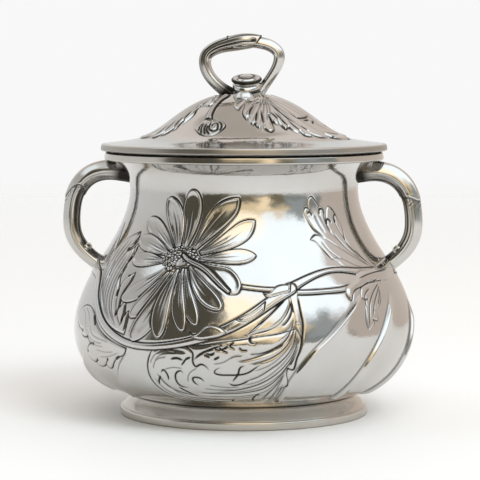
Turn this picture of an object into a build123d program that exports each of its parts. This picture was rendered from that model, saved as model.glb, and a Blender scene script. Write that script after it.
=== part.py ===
"""Lidded pewter sugar bowl with two stem-shaped handles and a looped finial.

All sizes are in millimetres. The origin is the centre of the foot's underside,
+Z is up and the handles lie along X. Every piece of the bowl is a separate solid.
The body is pressed in two halves that are soldered under the handles, and the
relief on its walls and lid is a surface finish that these plain shells carry.
"""
import math
import os

from build123d import *

# ---- driving dimensions -------------------------------------------------------
WALL = 1.6                  # body, foot and bottom plate
LID_WALL = 1.5

FOOT_RADIUS = 45.8          # widest part of the foot, at its rim band
FOOT_BAND_HEIGHT = 3.0
FOOT_BAND_WIDTH = 3.0
FOOT_BAND_STEP = 0.8        # how far the rim band stands out from the flare
FOOT_BAND_FILLET = 0.4
FOOT_FLARE = 1.2            # how far the flare has spread at half its height
FOOT_NECK_RADIUS = 41.5     # where the flare meets the body
BODY_BOTTOM = 7.6           # height of the body's flat underside
BOTTOM_PLATE_RADIUS = 38.0

MOUTH_TOP = 93.5            # top edge of the pressed body
RIM_HEIGHT = 2.9
RIM_RADIUS = 51.0
RIM_BULGE = 0.4
RIM_BORE = 44.2

SEAT_CLEARANCE = 0.05       # between the lid's seat flange and the rim band
FLANGE_RADIUS = 48.5
BEZEL_RADIUS = 43.7         # runs inside the rim band's bore
BEZEL_WALL = 1.2
BEZEL_DEPTH = 3.8           # how far the bezel reaches below the seat

LID_BOTTOM = 97.0
LID_BAND_HEIGHT = 2.4
LID_BAND_RADIUS = 52.0
LID_BAND_BULGE = 0.7
LID_BAND_BORE = 46.0
CROWN_RADIUS = 9.0          # flat seat for the finial on top of the dome
CROWN_TOP = 117.4

STEM_RADIUS = 3.4
SHEATH_RADIUS = 3.8         # the thicker leaf sheath on the upper part of a handle
BUD_RADIUS = 2.4
HANDLE_SHIFT = {"left": 1.0, "right": -1.0}   # the two castings sit unevenly

LOOP_STEM_RADIUS = 2.3
LOOP_TWIG_RADIUS = 1.9
LOOP_SHEATH_RADIUS = 3.2
BOSS_X = 1.2                # the boss stands a little to the right of the lid's centre

# Outer outline of the body, (radius, height), from the foot joint to the mouth.
BODY_OUTLINE = [
    (FOOT_NECK_RADIUS, BODY_BOTTOM),
    (52.0, 12.3),
    (59.9, 20.5),
    (62.8, 31.4),
    (60.5, 42.8),
    (55.5, 53.1),
    (49.3, 62.6),
    (44.0, 73.2),
    (42.0, 83.0),
    (43.4, 89.2),
    (47.6, MOUTH_TOP),
]

# Outer outline of the lid's dome, (radius, height), from its flat crown to its edge.
LID_OUTLINE = [
    (CROWN_RADIUS, CROWN_TOP),
    (16.2, 114.6),
    (22.8, 110.8),
    (28.6, 106.5),
    (34.8, 102.8),
    (40.5, 101.0),
    (46.0, 100.1),
    (51.4, LID_BOTTOM + LID_BAND_HEIGHT),
]

# Middle line of a handle, (distance from the bowl's axis, height), and its bends.
HANDLE_LINE = [(38.0, 88.8), (57.0, 89.6), (63.5, 78.5), (63.6, 62.8), (50.0, 52.3)]
HANDLE_BENDS = [14.0, 16.0, 20.0]
SHEATH_END = (62.2, 82.0)
BUD_PLACE = (56.6, 60.8)

# Middle lines of the two stems that make the finial's loop, in the XZ plane.
LOOP_LEFT_LINE = [(-3.0, 115.5), (-14.9, 124.6), (-14.0, 133.9), (4.5, 136.8)]
LOOP_LEFT_BENDS = [7.0, 6.8]
LOOP_RIGHT_LINE = [(3.5, 114.5), (13.0, 127.2), (13.4, 134.6), (2.0, 136.8)]
LOOP_RIGHT_BENDS = [6.0, 6.0]
LOOP_SHEATH_LINE = [(-8.0, 135.2), (-1.5, 136.5), (6.0, 136.8)]
LOOP_SHEATH_BENDS = [8.0]

# Half section of the finial's ringed boss, (radius, height), above the lid.
BOSS_SECTION = [
    (4.9, CROWN_TOP),
    (4.9, 118.6),
    (4.1, 119.2),
    (4.6, 120.4),
    (4.3, 121.0),
    (5.3, 122.2),
]
BOSS_TOP = 125.2


# ---- helpers ------------------------------------------------------------------
def turned(section):
    """Turn a closed half section, drawn as (radius, height), into a solid about Z."""
    face = Plane.XZ * make_face(section)
    return revolve(face, Axis.Z)


def inset(outline, wall, first_normal=None):
    """Move an outline inwards by the wall thickness, along its normals."""
    curve = Spline(*outline)
    moved = []
    for number, point in enumerate(outline):
        place = curve.param_at_point(Vector(*point))
        along = curve.tangent_at(place)
        side = Vector(-along.Y, along.X)
        if number == 0 and first_normal is not None:
            side = Vector(*first_normal)
        moved.append((point[0] + side.X * wall, point[1] + side.Y * wall))
    return moved


def ring(inner, outer, low, high, bulge=0.0):
    """A flat ring about Z whose outer edge may bulge outwards."""
    if bulge:
        edge = ThreePointArc((outer, low), (outer + bulge, (low + high) / 2), (outer, high))
    else:
        edge = Line((outer, low), (outer, high))
    rest = Polyline((outer, high), (inner, high), (inner, low), (outer, low))
    return turned(edge + rest)


def rod(line, bends, radius):
    """A round rod in the XZ plane along straight runs joined by arcs."""
    path = Plane.XZ * FilletPolyline(*line, radius=bends)
    start = Plane(origin=path @ 0, z_dir=path % 0)
    return sweep(start * Circle(radius), path=path)


def solid_under(outline):
    """Everything between an outline and the Z axis."""
    first, last = outline[0], outline[-1]
    corners = [last, (0, last[1]), (0, first[1])]
    if first[0] > 0:
        corners.append(first)
    return turned(Spline(*outline) + Polyline(*corners))


# ---- body ---------------------------------------------------------------------
def bowl_shell():
    """The pressed wall of the bowl, before it is parted into two halves."""
    outer = solid_under(BODY_OUTLINE)
    hollow = solid_under(inset(BODY_OUTLINE, WALL, first_normal=(0, 1)))
    opening = ring(0, BOTTOM_PLATE_RADIUS, BODY_BOTTOM - WALL, BODY_BOTTOM + 2 * WALL)
    return outer - hollow - opening


def half_of(shell, side):
    """The front (-Y) or back (+Y) half of the bowl's wall."""
    size = 3 * FOOT_RADIUS
    return shell & Pos(0, side * size / 2, size / 2) * Box(size, size, size)


def foot_ring():
    """The flared foot between the body and the rim band."""
    band_top = FOOT_BAND_HEIGHT
    outer_low = FOOT_RADIUS - FOOT_BAND_STEP
    outer = ThreePointArc(
        (FOOT_NECK_RADIUS, BODY_BOTTOM),
        (FOOT_NECK_RADIUS + FOOT_FLARE, (BODY_BOTTOM + band_top) / 2),
        (outer_low, band_top),
    )
    inner = ThreePointArc(
        (outer_low - WALL, band_top),
        (FOOT_NECK_RADIUS + FOOT_FLARE - WALL, (BODY_BOTTOM + band_top) / 2),
        (FOOT_NECK_RADIUS - WALL, BODY_BOTTOM),
    )
    low = Line((outer_low, band_top), (outer_low - WALL, band_top))
    high = Line((FOOT_NECK_RADIUS - WALL, BODY_BOTTOM), (FOOT_NECK_RADIUS, BODY_BOTTOM))
    return turned(outer + low + inner + high)


def foot_rim_band():
    """The upright band that the bowl stands on, with softened outer edges."""
    band = ring(FOOT_RADIUS - FOOT_BAND_WIDTH, FOOT_RADIUS, 0, FOOT_BAND_HEIGHT)
    outer_edges = band.edges().filter_by(GeomType.CIRCLE).group_by(SortBy.RADIUS)[-1]
    return fillet(outer_edges, FOOT_BAND_FILLET)


# ---- lid ----------------------------------------------------------------------
def lid_dome():
    """The pressed dome of the lid."""
    hollow_outline = inset(LID_OUTLINE, -LID_WALL, first_normal=(0, 1))
    return solid_under(LID_OUTLINE) - solid_under(hollow_outline)


def lid_bezel():
    """The seat flange under the lid and the short tube that locates it."""
    seat = MOUTH_TOP + RIM_HEIGHT + SEAT_CLEARANCE
    bore = BEZEL_RADIUS - BEZEL_WALL
    flange = ring(bore, FLANGE_RADIUS, seat, LID_BOTTOM)
    tube = ring(bore, BEZEL_RADIUS, seat - BEZEL_DEPTH, seat)
    return flange + tube


def finial_boss():
    """The ringed boss that the two stems of the finial grow from."""
    last_radius, last_height = BOSS_SECTION[-1]
    side = Polyline((0, BOSS_SECTION[0][1]), *BOSS_SECTION)
    rise = BOSS_TOP - last_height
    radius = (last_radius**2 + rise**2) / (2 * rise)
    half_angle = math.asin(last_radius / radius) / 2
    middle = (
        radius * math.sin(half_angle),
        BOSS_TOP - radius + radius * math.cos(half_angle),
    )
    dome = ThreePointArc((last_radius, last_height), middle, (0, BOSS_TOP))
    axis = Line((0, BOSS_TOP), (0, BOSS_SECTION[0][1]))
    return Pos(BOSS_X, 0, 0) * turned(side + dome + axis)


def finial_loop():
    """Two stems that cross over at the top of the loop inside a short sheath."""
    stem = rod(LOOP_LEFT_LINE, LOOP_LEFT_BENDS, LOOP_STEM_RADIUS)
    twig = rod(LOOP_RIGHT_LINE, LOOP_RIGHT_BENDS, LOOP_TWIG_RADIUS)
    sheath = rod(LOOP_SHEATH_LINE, LOOP_SHEATH_BENDS, LOOP_SHEATH_RADIUS)
    crown = ring(0, 2 * CROWN_RADIUS, CROWN_TOP - 4 * LID_WALL, CROWN_TOP)
    return stem + twig + sheath - crown


# ---- handles ------------------------------------------------------------------
def handle(side, body_outer):
    """One cast handle: a stem with a leaf sheath on top and a bud inside its foot."""
    stem = rod(HANDLE_LINE, HANDLE_BENDS, STEM_RADIUS)
    sheath_line = HANDLE_LINE[:2] + [SHEATH_END]
    sheath = rod(sheath_line, [HANDLE_BENDS[0]], SHEATH_RADIUS)
    bud = Pos(BUD_PLACE[0], 0, BUD_PLACE[1]) * Sphere(BUD_RADIUS)
    casting = Pos(HANDLE_SHIFT[side], 0, 0) * (stem + sheath + bud)
    if side == "left":
        casting = mirror(casting, Plane.YZ)
    return casting - body_outer


def build():
    """Every piece of the sugar bowl by its name."""
    shell = bowl_shell()
    body_outer = solid_under(BODY_OUTLINE)
    boss = finial_boss()
    band_top = LID_BOTTOM + LID_BAND_HEIGHT
    return {
        "body_front_half": half_of(shell, -1),
        "body_back_half": half_of(shell, 1),
        "bottom_plate": ring(0, BOTTOM_PLATE_RADIUS, BODY_BOTTOM, BODY_BOTTOM + WALL),
        "rim_band": ring(RIM_BORE, RIM_RADIUS, MOUTH_TOP, MOUTH_TOP + RIM_HEIGHT, RIM_BULGE),
        "foot_ring": foot_ring(),
        "foot_rim_band": foot_rim_band(),
        "handle_left": handle("left", body_outer),
        "handle_right": handle("right", body_outer),
        "lid_dome": lid_dome(),
        "lid_rim_band": ring(LID_BAND_BORE, LID_BAND_RADIUS, LID_BOTTOM, band_top, LID_BAND_BULGE),
        "lid_bezel": lid_bezel(),
        "finial_boss": boss,
        "finial_loop": finial_loop() - boss,
    }


os.makedirs("parts", exist_ok=True)
for name, piece in build().items():
    piece.label = name
    export_step(piece, f"parts/{name}.step")
    box = piece.bounding_box()
    print(f"{name}: {len(piece.solids())} solid, {piece.volume:.0f} mm3, z {box.min.Z:.2f} to {box.max.Z:.2f}")
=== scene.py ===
"""Looks of a lidded pewter sugar bowl: chased walls and lid, cast handles and finial."""
import math

import bpy
import numpy as np
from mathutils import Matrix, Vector

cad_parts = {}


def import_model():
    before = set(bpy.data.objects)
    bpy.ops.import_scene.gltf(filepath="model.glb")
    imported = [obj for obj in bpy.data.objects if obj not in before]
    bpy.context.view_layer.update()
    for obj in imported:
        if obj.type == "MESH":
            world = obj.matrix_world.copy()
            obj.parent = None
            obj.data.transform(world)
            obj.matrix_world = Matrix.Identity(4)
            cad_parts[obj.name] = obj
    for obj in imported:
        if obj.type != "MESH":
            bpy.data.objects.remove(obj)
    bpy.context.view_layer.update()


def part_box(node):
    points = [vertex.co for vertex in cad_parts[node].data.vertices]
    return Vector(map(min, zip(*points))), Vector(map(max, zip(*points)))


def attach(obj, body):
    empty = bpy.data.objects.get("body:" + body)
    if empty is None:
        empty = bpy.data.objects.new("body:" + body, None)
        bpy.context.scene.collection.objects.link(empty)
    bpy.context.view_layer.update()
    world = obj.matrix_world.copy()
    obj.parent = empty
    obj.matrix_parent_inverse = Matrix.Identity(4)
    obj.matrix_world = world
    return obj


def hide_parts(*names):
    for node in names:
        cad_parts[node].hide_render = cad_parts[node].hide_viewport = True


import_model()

MM = 0.001
RING_COLUMNS, PLATE_COLUMNS = 384, 192

# ---- outlines, in millimetres: (radius, height) ----------------------------------
BODY_OUTLINE = [
    (41.5, 7.6), (52.0, 12.3), (59.9, 20.5), (62.8, 31.4), (60.5, 42.8), (55.5, 53.1),
    (49.3, 62.6), (44.0, 73.2), (42.0, 83.0), (43.4, 89.2), (47.6, 93.5),
]
LID_OUTLINE = [
    (9.0, 117.4), (16.2, 114.6), (22.8, 110.8), (28.6, 106.5), (34.8, 102.8), (40.5, 101.0),
    (46.0, 100.1), (51.4, 99.4),
]
OUT_ON_RIGHT, OUT_ON_LEFT = 1, -1       # on which side of an outline's run the outside lies
WALL = 1.6
LID_WALL = 1.5
BELLY_RADIUS, LID_RADIUS = 60, 50       # where the mesh's columns are a grid step apart
OUTLINE_PLACES = 4000   # how finely an outline's length is measured
GRID = 0.3              # spacing of the relief's mesh
LINING_STEP = 3.0       # spacing of the plain inside of a wall
RELIEF_START = 1.1      # the relief's height scale starts this far below the wall's lower edge
RELIEF_END = 1.5        # the relief fades out over this distance before an edge
SATIN = -1.0            # patina value of the unpolished lining


# ---- curves ----------------------------------------------------------------------
def distances(points):
    """How far along a line of points each of them lies."""
    steps = np.diff(np.asarray(points, float), axis=0)
    return np.r_[0, np.cumsum(np.linalg.norm(steps, axis=1))]


def natural(points, count):
    """A natural cubic spline through the points, read at evenly spaced places."""
    p = np.asarray(points, float)
    n = len(p)
    t = distances(p)
    q = np.linspace(0, t[-1], count)
    if n == 2:
        return p[0] + (p[1] - p[0]) * (q / t[-1])[:, None]
    h = np.diff(t)
    matrix = np.eye(n)
    right = np.zeros_like(p)
    for i in range(1, n - 1):
        matrix[i, i - 1 : i + 2] = h[i - 1], 2 * (h[i - 1] + h[i]), h[i]
        right[i] = 6 * ((p[i + 1] - p[i]) / h[i] - (p[i] - p[i - 1]) / h[i - 1])
    m = np.linalg.solve(matrix, right)
    i = np.clip(np.searchsorted(t, q, "right") - 1, 0, n - 2)
    a = ((t[i + 1] - q) / h[i])[:, None]
    b = 1 - a
    hi = (h[i] ** 2 / 6)[:, None]
    return a * p[i] + b * p[i + 1] + ((a**3 - a) * m[i] + (b**3 - b) * m[i + 1]) * hi


def smooth(points, step=0.8):
    """A smooth stroke through the points, with a place about every step."""
    return natural(points, max(3, int(distances(points)[-1] / step) + 2))


def outline(start, *strokes):
    """A closed outline of smooth strokes between corners; each goes on where the last ended."""
    parts = []
    for stroke in strokes:
        parts.append(smooth([start, *stroke], 0.7)[:-1])
        start = stroke[-1]
    return np.vstack(parts)


def tangents(points):
    """The unit direction of a line of points at each of them."""
    along = np.gradient(points, axis=0)
    return along / np.linalg.norm(along, axis=1)[:, None]


def full_turn(count):
    return np.linspace(0, 2 * math.pi, count, endpoint=False)


def ellipse(x, y, half_x, half_y):
    turn = full_turn(40)
    return np.column_stack([x + half_x * np.cos(turn), y + half_y * np.sin(turn)])


def ease(x):
    """0 below 0, 1 above 1, and a smooth change between."""
    x = np.clip(x, 0, 1)
    return x * x * (3 - 2 * x)


def bell(x):
    """1 at 0, and close to 0 from 2 on either side."""
    return np.exp(-x * x)


# ---- relief, in millimetres ------------------------------------------------------
SIDE = 0.3              # the side of a raised shape climbs over this distance
AREA_EDGE = 0.35        # share of its height that a raised area has at its very edge
AREA_LINE = 0.25        # half width of the dark line round a raised area
STEM_LINE = 0.32        # half width of the dark line on either side of a stem
STEM_BASE = 0.1         # a stem's side stands this far above the wall
STEM_FLUTE = 0.1        # depth of a flute along a stem
RIM_IN, RIM_WIDTH = 0.55, 0.3   # how far inside an area's edge its raised rim runs, and its half width
HOLLOW_REACH = 2.4      # a hollowed area sinks over this distance from its edge inwards
MARGIN = 1.5            # an edge's dark line has faded out this far beyond it
GROOVE_POINT = 0.65     # share of its width that a groove has at its very ends
RIB_START, RIB_END = 0.25, 0.1          # shares of a rib's length over which it rises and sinks
RIB_FOOT, RIB_FOOT_DEPTH = 0.4, 0.12    # half width and depth of the line at a rib's short side


class Relief:
    """Heights in mm and darkness from 0 to 1 over a grid of surface points.

    a and b are the two drawing coordinates of each grid point, and scale is how many
    millimetres one unit of a is there. Each copy turns a drawn feature into one place:
    its factor on a, its shift of a and its factor on b.
    """

    def __init__(self, a, b, scale, copies):
        self.a, self.b = a.ravel(), b.ravel()
        self.scale = scale.ravel()
        self.height = np.zeros(self.a.size)
        self.dark = np.zeros(self.a.size)
        self.copies = copies

    def places(self, points, reach):
        """For each copy, the grid points near the stroke and the moved stroke."""
        for factor_a, shift, factor_b in self.copies:
            line = np.column_stack([points[:, 0] * factor_a + shift, points[:, 1] * factor_b])
            wide = reach / self.scale.min()
            near = (self.b > line[:, 1].min() - reach) & (self.b < line[:, 1].max() + reach)
            near &= (self.a > line[:, 0].min() - wide) & (self.a < line[:, 0].max() + wide)
            index = np.nonzero(near)[0]
            if index.size:
                yield index, line

    def distance(self, index, line):
        """Distance in mm to a stroke, the place along it (0 to 1) and the side."""
        a, b, k = self.a[index], self.b[index], self.scale[index]
        best = np.full(index.size, np.inf)
        along = np.zeros(index.size)
        side = np.ones(index.size)
        count = len(line) - 1
        for i in range(count):
            sx = (line[i + 1, 0] - line[i, 0]) * k
            sy = line[i + 1, 1] - line[i, 1]
            px = (a - line[i, 0]) * k
            py = b - line[i, 1]
            t = np.clip((px * sx + py * sy) / (sx * sx + sy * sy + 1e-12), 0, 1)
            d = np.hypot(px - t * sx, py - t * sy)
            closer = d < best
            best[closer] = d[closer]
            along[closer] = (i + t[closer]) / count
            side[closer] = np.sign(sx * py - sy * px)[closer]
        return best, along, side

    def darken(self, index, shade, cover=0):
        """Darkening of at least this shade, for oxide in the hollows and for painted shade; cover is how
        much of the old one is hidden.
        """
        self.dark[index] = np.maximum(self.dark[index] * (1 - cover), shade)

    def raised(self, index, crown, cover):
        """Put a raised shape over what was there before."""
        self.height[index] = self.height[index] * (1 - cover) + crown * cover

    def groove(self, points, width, depth, dark, fade=0.12):
        """A chased line with darkened bottom, thinning out at its ends."""
        line = smooth(points)
        for index, moved in self.places(line, 3 * width):
            d, u, _ = self.distance(index, moved)
            ends = np.sqrt(ease(np.minimum(u, 1 - u) / fade + 0.1))
            cut = bell(d / (width * (GROOVE_POINT + (1 - GROOVE_POINT) * ends))) * ends
            self.height[index] -= depth * cut
            self.darken(index, dark * cut)

    def grooves(self, lines, **look):
        for line in lines:
            self.groove(line, **look)

    def rib(self, points, height, rise, fall):
        """A swirled rib: a long slope on the line's left, a short fall on its right, and painted shade in
        the shallow line at the fall's foot.
        """
        line = smooth(points, 1.5)
        for index, moved in self.places(line, 4 * rise):
            d, u, side = self.distance(index, moved)
            slope = np.where(side > 0, np.exp(-d / rise), bell(d / fall))
            ends = ease(np.minimum(u / RIB_START, (1 - u) / RIB_END))
            self.height[index] += height * slope * ends
            # Painted shade in the shallow line at the foot of the fall.
            foot = bell((d - 1.6 * fall) / RIB_FOOT) * (side < 0) * ends
            self.height[index] -= RIB_FOOT_DEPTH * foot
            self.darken(index, 0.5 * foot)

    def ridge(self, points, widths, height, dark, edge=0.18, flutes=()):
        """A raised round stem; widths are its half widths along the stroke."""
        line = smooth(points)
        widest = max(widths)
        stations = np.linspace(0, 1, len(widths))
        for index, moved in self.places(line, widest + MARGIN):
            d, u, side = self.distance(index, moved)
            half = np.interp(u, stations, widths)
            q = d / half
            crown = height * np.minimum(1, half / widest + 0.2) * np.clip(1 - q * q, 0, 1) ** 0.6
            for flute in flutes:
                crown -= STEM_FLUTE * bell((q * side - flute) / 0.22)
            inside = ease((half - d) / SIDE + 0.5)
            self.raised(index, crown + STEM_BASE, inside)
            rim = bell((d - half) / STEM_LINE)
            self.darken(index, dark * rim, inside)
            self.height[index] -= edge * rim

    def patch(self, edge_line, height, bevel, edge, dark, rim=0.0, hollow=0.0, vary=0.24):
        """A raised closed area with a darkened outline, soft edges and a raised rim."""
        for index, moved in self.places(edge_line, MARGIN):
            ring = np.vstack([moved, moved[:1]])
            d, u, _ = self.distance(index, ring)
            d = np.where(self.within(index, ring), d, -d)
            inside = ease(d / SIDE + 0.5)
            crown = height * (AREA_EDGE + (1 - AREA_EDGE) * ease(d / bevel))
            crown += rim * bell((d - RIM_IN) / RIM_WIDTH)
            crown += hollow * (1 - np.clip(d / HOLLOW_REACH, 0, 1)) ** 2
            self.raised(index, crown, inside)
            waves = max(2, round(len(ring) / 16))
            weight = 1 - vary + vary * np.sin(2 * math.pi * u * waves + ring[0, 1])
            line = bell((d + 0.05) / (AREA_LINE * weight))
            self.darken(index, dark * weight * line, inside)
            self.height[index] -= edge * weight * line

    def within(self, index, ring):
        """Which grid points lie inside a closed outline."""
        a, b = self.a[index], self.b[index]
        odd = np.zeros(index.size, bool)
        for (x0, y0), (x1, y1) in zip(ring[:-1], ring[1:]):
            if y0 == y1:
                continue
            crosses = (y0 > b) != (y1 > b)
            odd ^= crosses & (a < (x1 - x0) * (b - y0) / (y1 - y0) + x0)
        return odd

    def bead(self, centre, radius, height):
        """A small round bead, dark round its foot."""
        point = np.array([centre, centre], float)
        for index, moved in self.places(point, 2 * radius):
            da = (self.a[index] - moved[0, 0]) * self.scale[index]
            d = np.hypot(da, self.b[index] - moved[0, 1]) / radius
            self.height[index] += height * np.clip(1 - d * d, 0, 1) ** 0.7
            self.darken(index, bell((d - 1) / 0.25), ease((0.95 - d) / 0.3))


# ---- the daisy -------------------------------------------------------------------
# Each petal: its base, its tip (both in degrees round the bowl and mm up the wall),
# its half width in mm, its sideways bend in mm and, for some, how pointed its end is
# (0.5 is round). The first are drawn first.
PETALS_BEHIND = [
    ((-19.5, 71), (-18.6, 93.6), 3.7, 0.0),
    ((-22, 71), (-32.2, 90.6), 3.5, -0.8),
    ((-24, 70.5), (-44.0, 82.4), 3.3, -0.6),
    ((-25, 69), (-45.4, 74.6), 3.2, -0.5),
    ((-26, 66.5), (-43.6, 66.2), 3.0, -0.3),
    ((-15, 71.5), (3.8, 90.8), 3.9, 1.4, 0.8),
    ((-12, 70), (11.2, 82.8), 3.6, -1.0, 0.85),
    ((-11.5, 67.6), (10.9, 69.4), 3.0, 0.3, 0.65),
    ((-24, 64), (-40.2, 50.4), 3.2, 0.9),
    ((-23, 62.5), (-34.4, 44.6), 3.0, 0.9),
]
PETALS_BEFORE = [
    ((-21.5, 63), (-32.6, 36.6), 3.9, 2.2),
    ((-16.5, 64), (-9.4, 43.2), 2.4, -0.9),
    ((-19.5, 63.5), (-22.4, 38.2), 3.1, -1.2),
    ((-17.5, 64), (-13.9, 41.0), 2.5, -1.2),
    ((-15, 65), (-1.7, 48.8), 3.0, -1.0),
]
FLOWER_CENTRE = (-19.5, 67.4)
CURLED_PETAL = [
    (-16.6, 67.6),
    [(-12.2, 67.0), (-5.4, 65.5), (0.8, 64.2), (3.9, 61.1), (5.0, 57.2), (3.8, 54.6), (1.4, 54.4)],
    [(-2.2, 57.4), (-7.8, 62.4), (-12.4, 65.4), (-16.6, 67.6)],
]
ROLLED_RIM = [
    (-18.6, 69.0), (-16.6, 67.5), (-13.6, 66.2), (-8.9, 64.0), (-4.8, 60.6), (-1.6, 57.4), (0.6, 55.4),
]
PETAL_SHOULDER = 0.68   # where along its length a petal is widest
# Veins from a petal's root: place across it (-1 and 1 are its edges), reach and darkness.
PETAL_VEINS = [(0.0, 13, 0.75), (0.45, 12, 0.8), (-0.45, 10, 0.7), (0.75, 8, 0.5), (-0.75, 7, 0.5)]
FLOWER_SIZE = (7.6, 4.9)        # half width and half height of the seed disc
SEED_TRIES = 1200
SEED_GAP = 0.95
SEED_RADII, SEED_HEIGHTS = (0.5, 0.72), (0.35, 0.6)
ROLLED_WIDTHS = [0.9, 1.0, 1.0, 1.05, 1.1, 1.0, 0.7]


def petal_outline(scale, base, tip, half, bend, point=0.5):
    """Outline of one petal, its middle line and its two sides, in drawing coordinates."""
    k = float(np.interp((base[1] + tip[1]) / 2, *scale))
    start, end = np.array(base, float), np.array(tip, float)
    along = (end - start) * (k, 1)
    reach = np.linalg.norm(along)
    along /= reach
    across = np.array([-along[1], along[0]])
    tip_share = 1 - PETAL_SHOULDER
    to_tip = PETAL_SHOULDER + tip_share * np.sin(np.linspace(0.12, 1, 14) * math.pi / 2)
    s = np.r_[np.linspace(0, PETAL_SHOULDER, 12), to_tip]
    middle = start * (k, 1) + np.outer(s * reach, along) + np.outer(bend * np.sin(np.pi * s), across)
    opening = 0.2 + 0.8 * np.sin(np.pi / 2 * np.clip(s / PETAL_SHOULDER, 0, 1)) ** 1.25
    closing = (1 - np.clip((s - PETAL_SHOULDER) / tip_share, 0, 1) ** 2) ** point
    width = half * opening * closing
    left = (middle + width[:, None] * across) / (k, 1)
    right = (middle - width[:, None] * across) / (k, 1)
    return np.vstack([left, right[-2::-1]]), middle / (k, 1), left, right


def draw_petal(relief, scale, *petal):
    """A spoon shaped petal: thin raised rim, hollow middle, veins from its root."""
    edge, middle, left, right = petal_outline(scale, *petal)
    relief.patch(edge, 0.4, bevel=0.5, edge=0.2, dark=1.0, rim=0.06, hollow=0.22, vary=0.08)
    for share, reach, shade in PETAL_VEINS:
        side = left if share > 0 else right
        vein = middle + abs(share) * (side - middle)
        relief.groove(vein[:reach:3], width=0.25, depth=0.15 * shade, dark=shade, fade=0.6)


def under_curled_petal(x, y):
    """Whether a place on the seed disc lies under the petal that curls over it."""
    return x > -21 and y < 67.2 - 0.35 * (x - FLOWER_CENTRE[0])


def draw_seeds(relief):
    dice = np.random.default_rng(7)
    seeds = []
    for _ in range(SEED_TRIES):
        turn, reach = dice.uniform(0, 2 * math.pi), math.sqrt(dice.uniform(0.02, 1.05))
        x = FLOWER_CENTRE[0] + FLOWER_SIZE[0] * reach * math.cos(turn)
        y = FLOWER_CENTRE[1] + FLOWER_SIZE[1] * reach * math.sin(turn)
        if under_curled_petal(x, y):
            continue
        if all(math.hypot((x - seed_x) * 0.85, y - seed_y) > SEED_GAP for seed_x, seed_y in seeds):
            seeds.append((x, y))
            relief.bead((x, y), dice.uniform(*SEED_RADII), dice.uniform(*SEED_HEIGHTS))


def draw_flower(relief, scale):
    for petal in PETALS_BEHIND:
        draw_petal(relief, scale, *petal)
    relief.patch(ellipse(*FLOWER_CENTRE, *FLOWER_SIZE), 0.9, bevel=2.0, edge=0.2, dark=0.8)
    for petal in PETALS_BEFORE:
        draw_petal(relief, scale, *petal)
    relief.patch(outline(*CURLED_PETAL), 0.5, bevel=0.6, edge=0.24, dark=1.0, hollow=0.45)
    draw_seeds(relief)
    relief.ridge(ROLLED_RIM, ROLLED_WIDTHS, 0.9, edge=0.25, dark=0.95)


# ---- stems and leaves of the body ------------------------------------------------
RIBS = [
    [(56, 57), (49.4, 51), (42, 45), (34.6, 38.5), (27.6, 32), (22.8, 24), (20.4, 15), (18.8, 6)],
    [(72, 54), (65, 47), (57.5, 38), (51.5, 29.5), (47.5, 20), (45, 6)],
    [(88, 50), (83.4, 41), (78.6, 33), (75, 25), (72.5, 16), (71, 5)],
    [(-33, 33), (-39, 26), (-43.5, 18), (-47, 7)], [(-62, 30), (-67, 22), (-71, 14), (-74, 6)],
]
SCROLL_EDGE = [
    (22.6, 42),
    [(17, 40.4), (12, 39.6), (4, 38.3), (-2, 37.4), (-8, 36.4), (-15, 36.3), (-22, 35.2), (-24.5, 34)],
    [(-26.4, 30), (-27.3, 25), (-26.6, 20), (-24.2, 15.5), (-20, 12), (-14, 9)],
    [(-5, 7.6), (4, 7.4), (10, 7.8), (15, 9)], [(17.7, 13.1), (18.2, 16), (19.1, 19.6)],
    [(20.6, 20.6), (20.6, 23.4), (19.9, 26.5), (20.3, 28.2)],
    [(21.9, 27.4), (22.7, 30.3), (23.8, 34.3), (24.3, 38.7), (22.6, 42)],
]
SCROLL_SIDE = [(-24.5, 34), (-26.4, 30), (-27.3, 25), (-26.6, 20), (-24.2, 15.5), (-20, 12), (-14, 9.4)]
SCROLL_FLUTES = [
    [(22.2, 45), (19.6, 38.6), (15.5, 35), (10, 32.4), (3.5, 31)],
    [(22.6, 44), (20.4, 37.6), (17, 33.7), (11.8, 31), (7.4, 30)],
    [(23, 43), (21.4, 36), (18, 31), (14, 27.5), (10, 24.6), (6, 23.2)],
    [(23.4, 41), (22, 34), (19.1, 29), (14.5, 24), (9, 20.5), (3, 18.6), (-3, 18.3)],
    [(23, 36), (20.6, 29.6), (17.1, 24), (13, 19.5), (6, 17), (-2, 16.3), (-10, 17)],
    [(19.4, 26), (17.1, 21), (14.6, 16), (13, 12)], [(18.4, 36.8), (13.6, 34.2), (7.6, 33.6)],
    [(-22.4, 33.3), (-18, 34.5), (-12.5, 33.8)], [(-23.8, 25.6), (-21.5, 19.5), (-17, 16), (-11, 14.7)],
]
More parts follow.
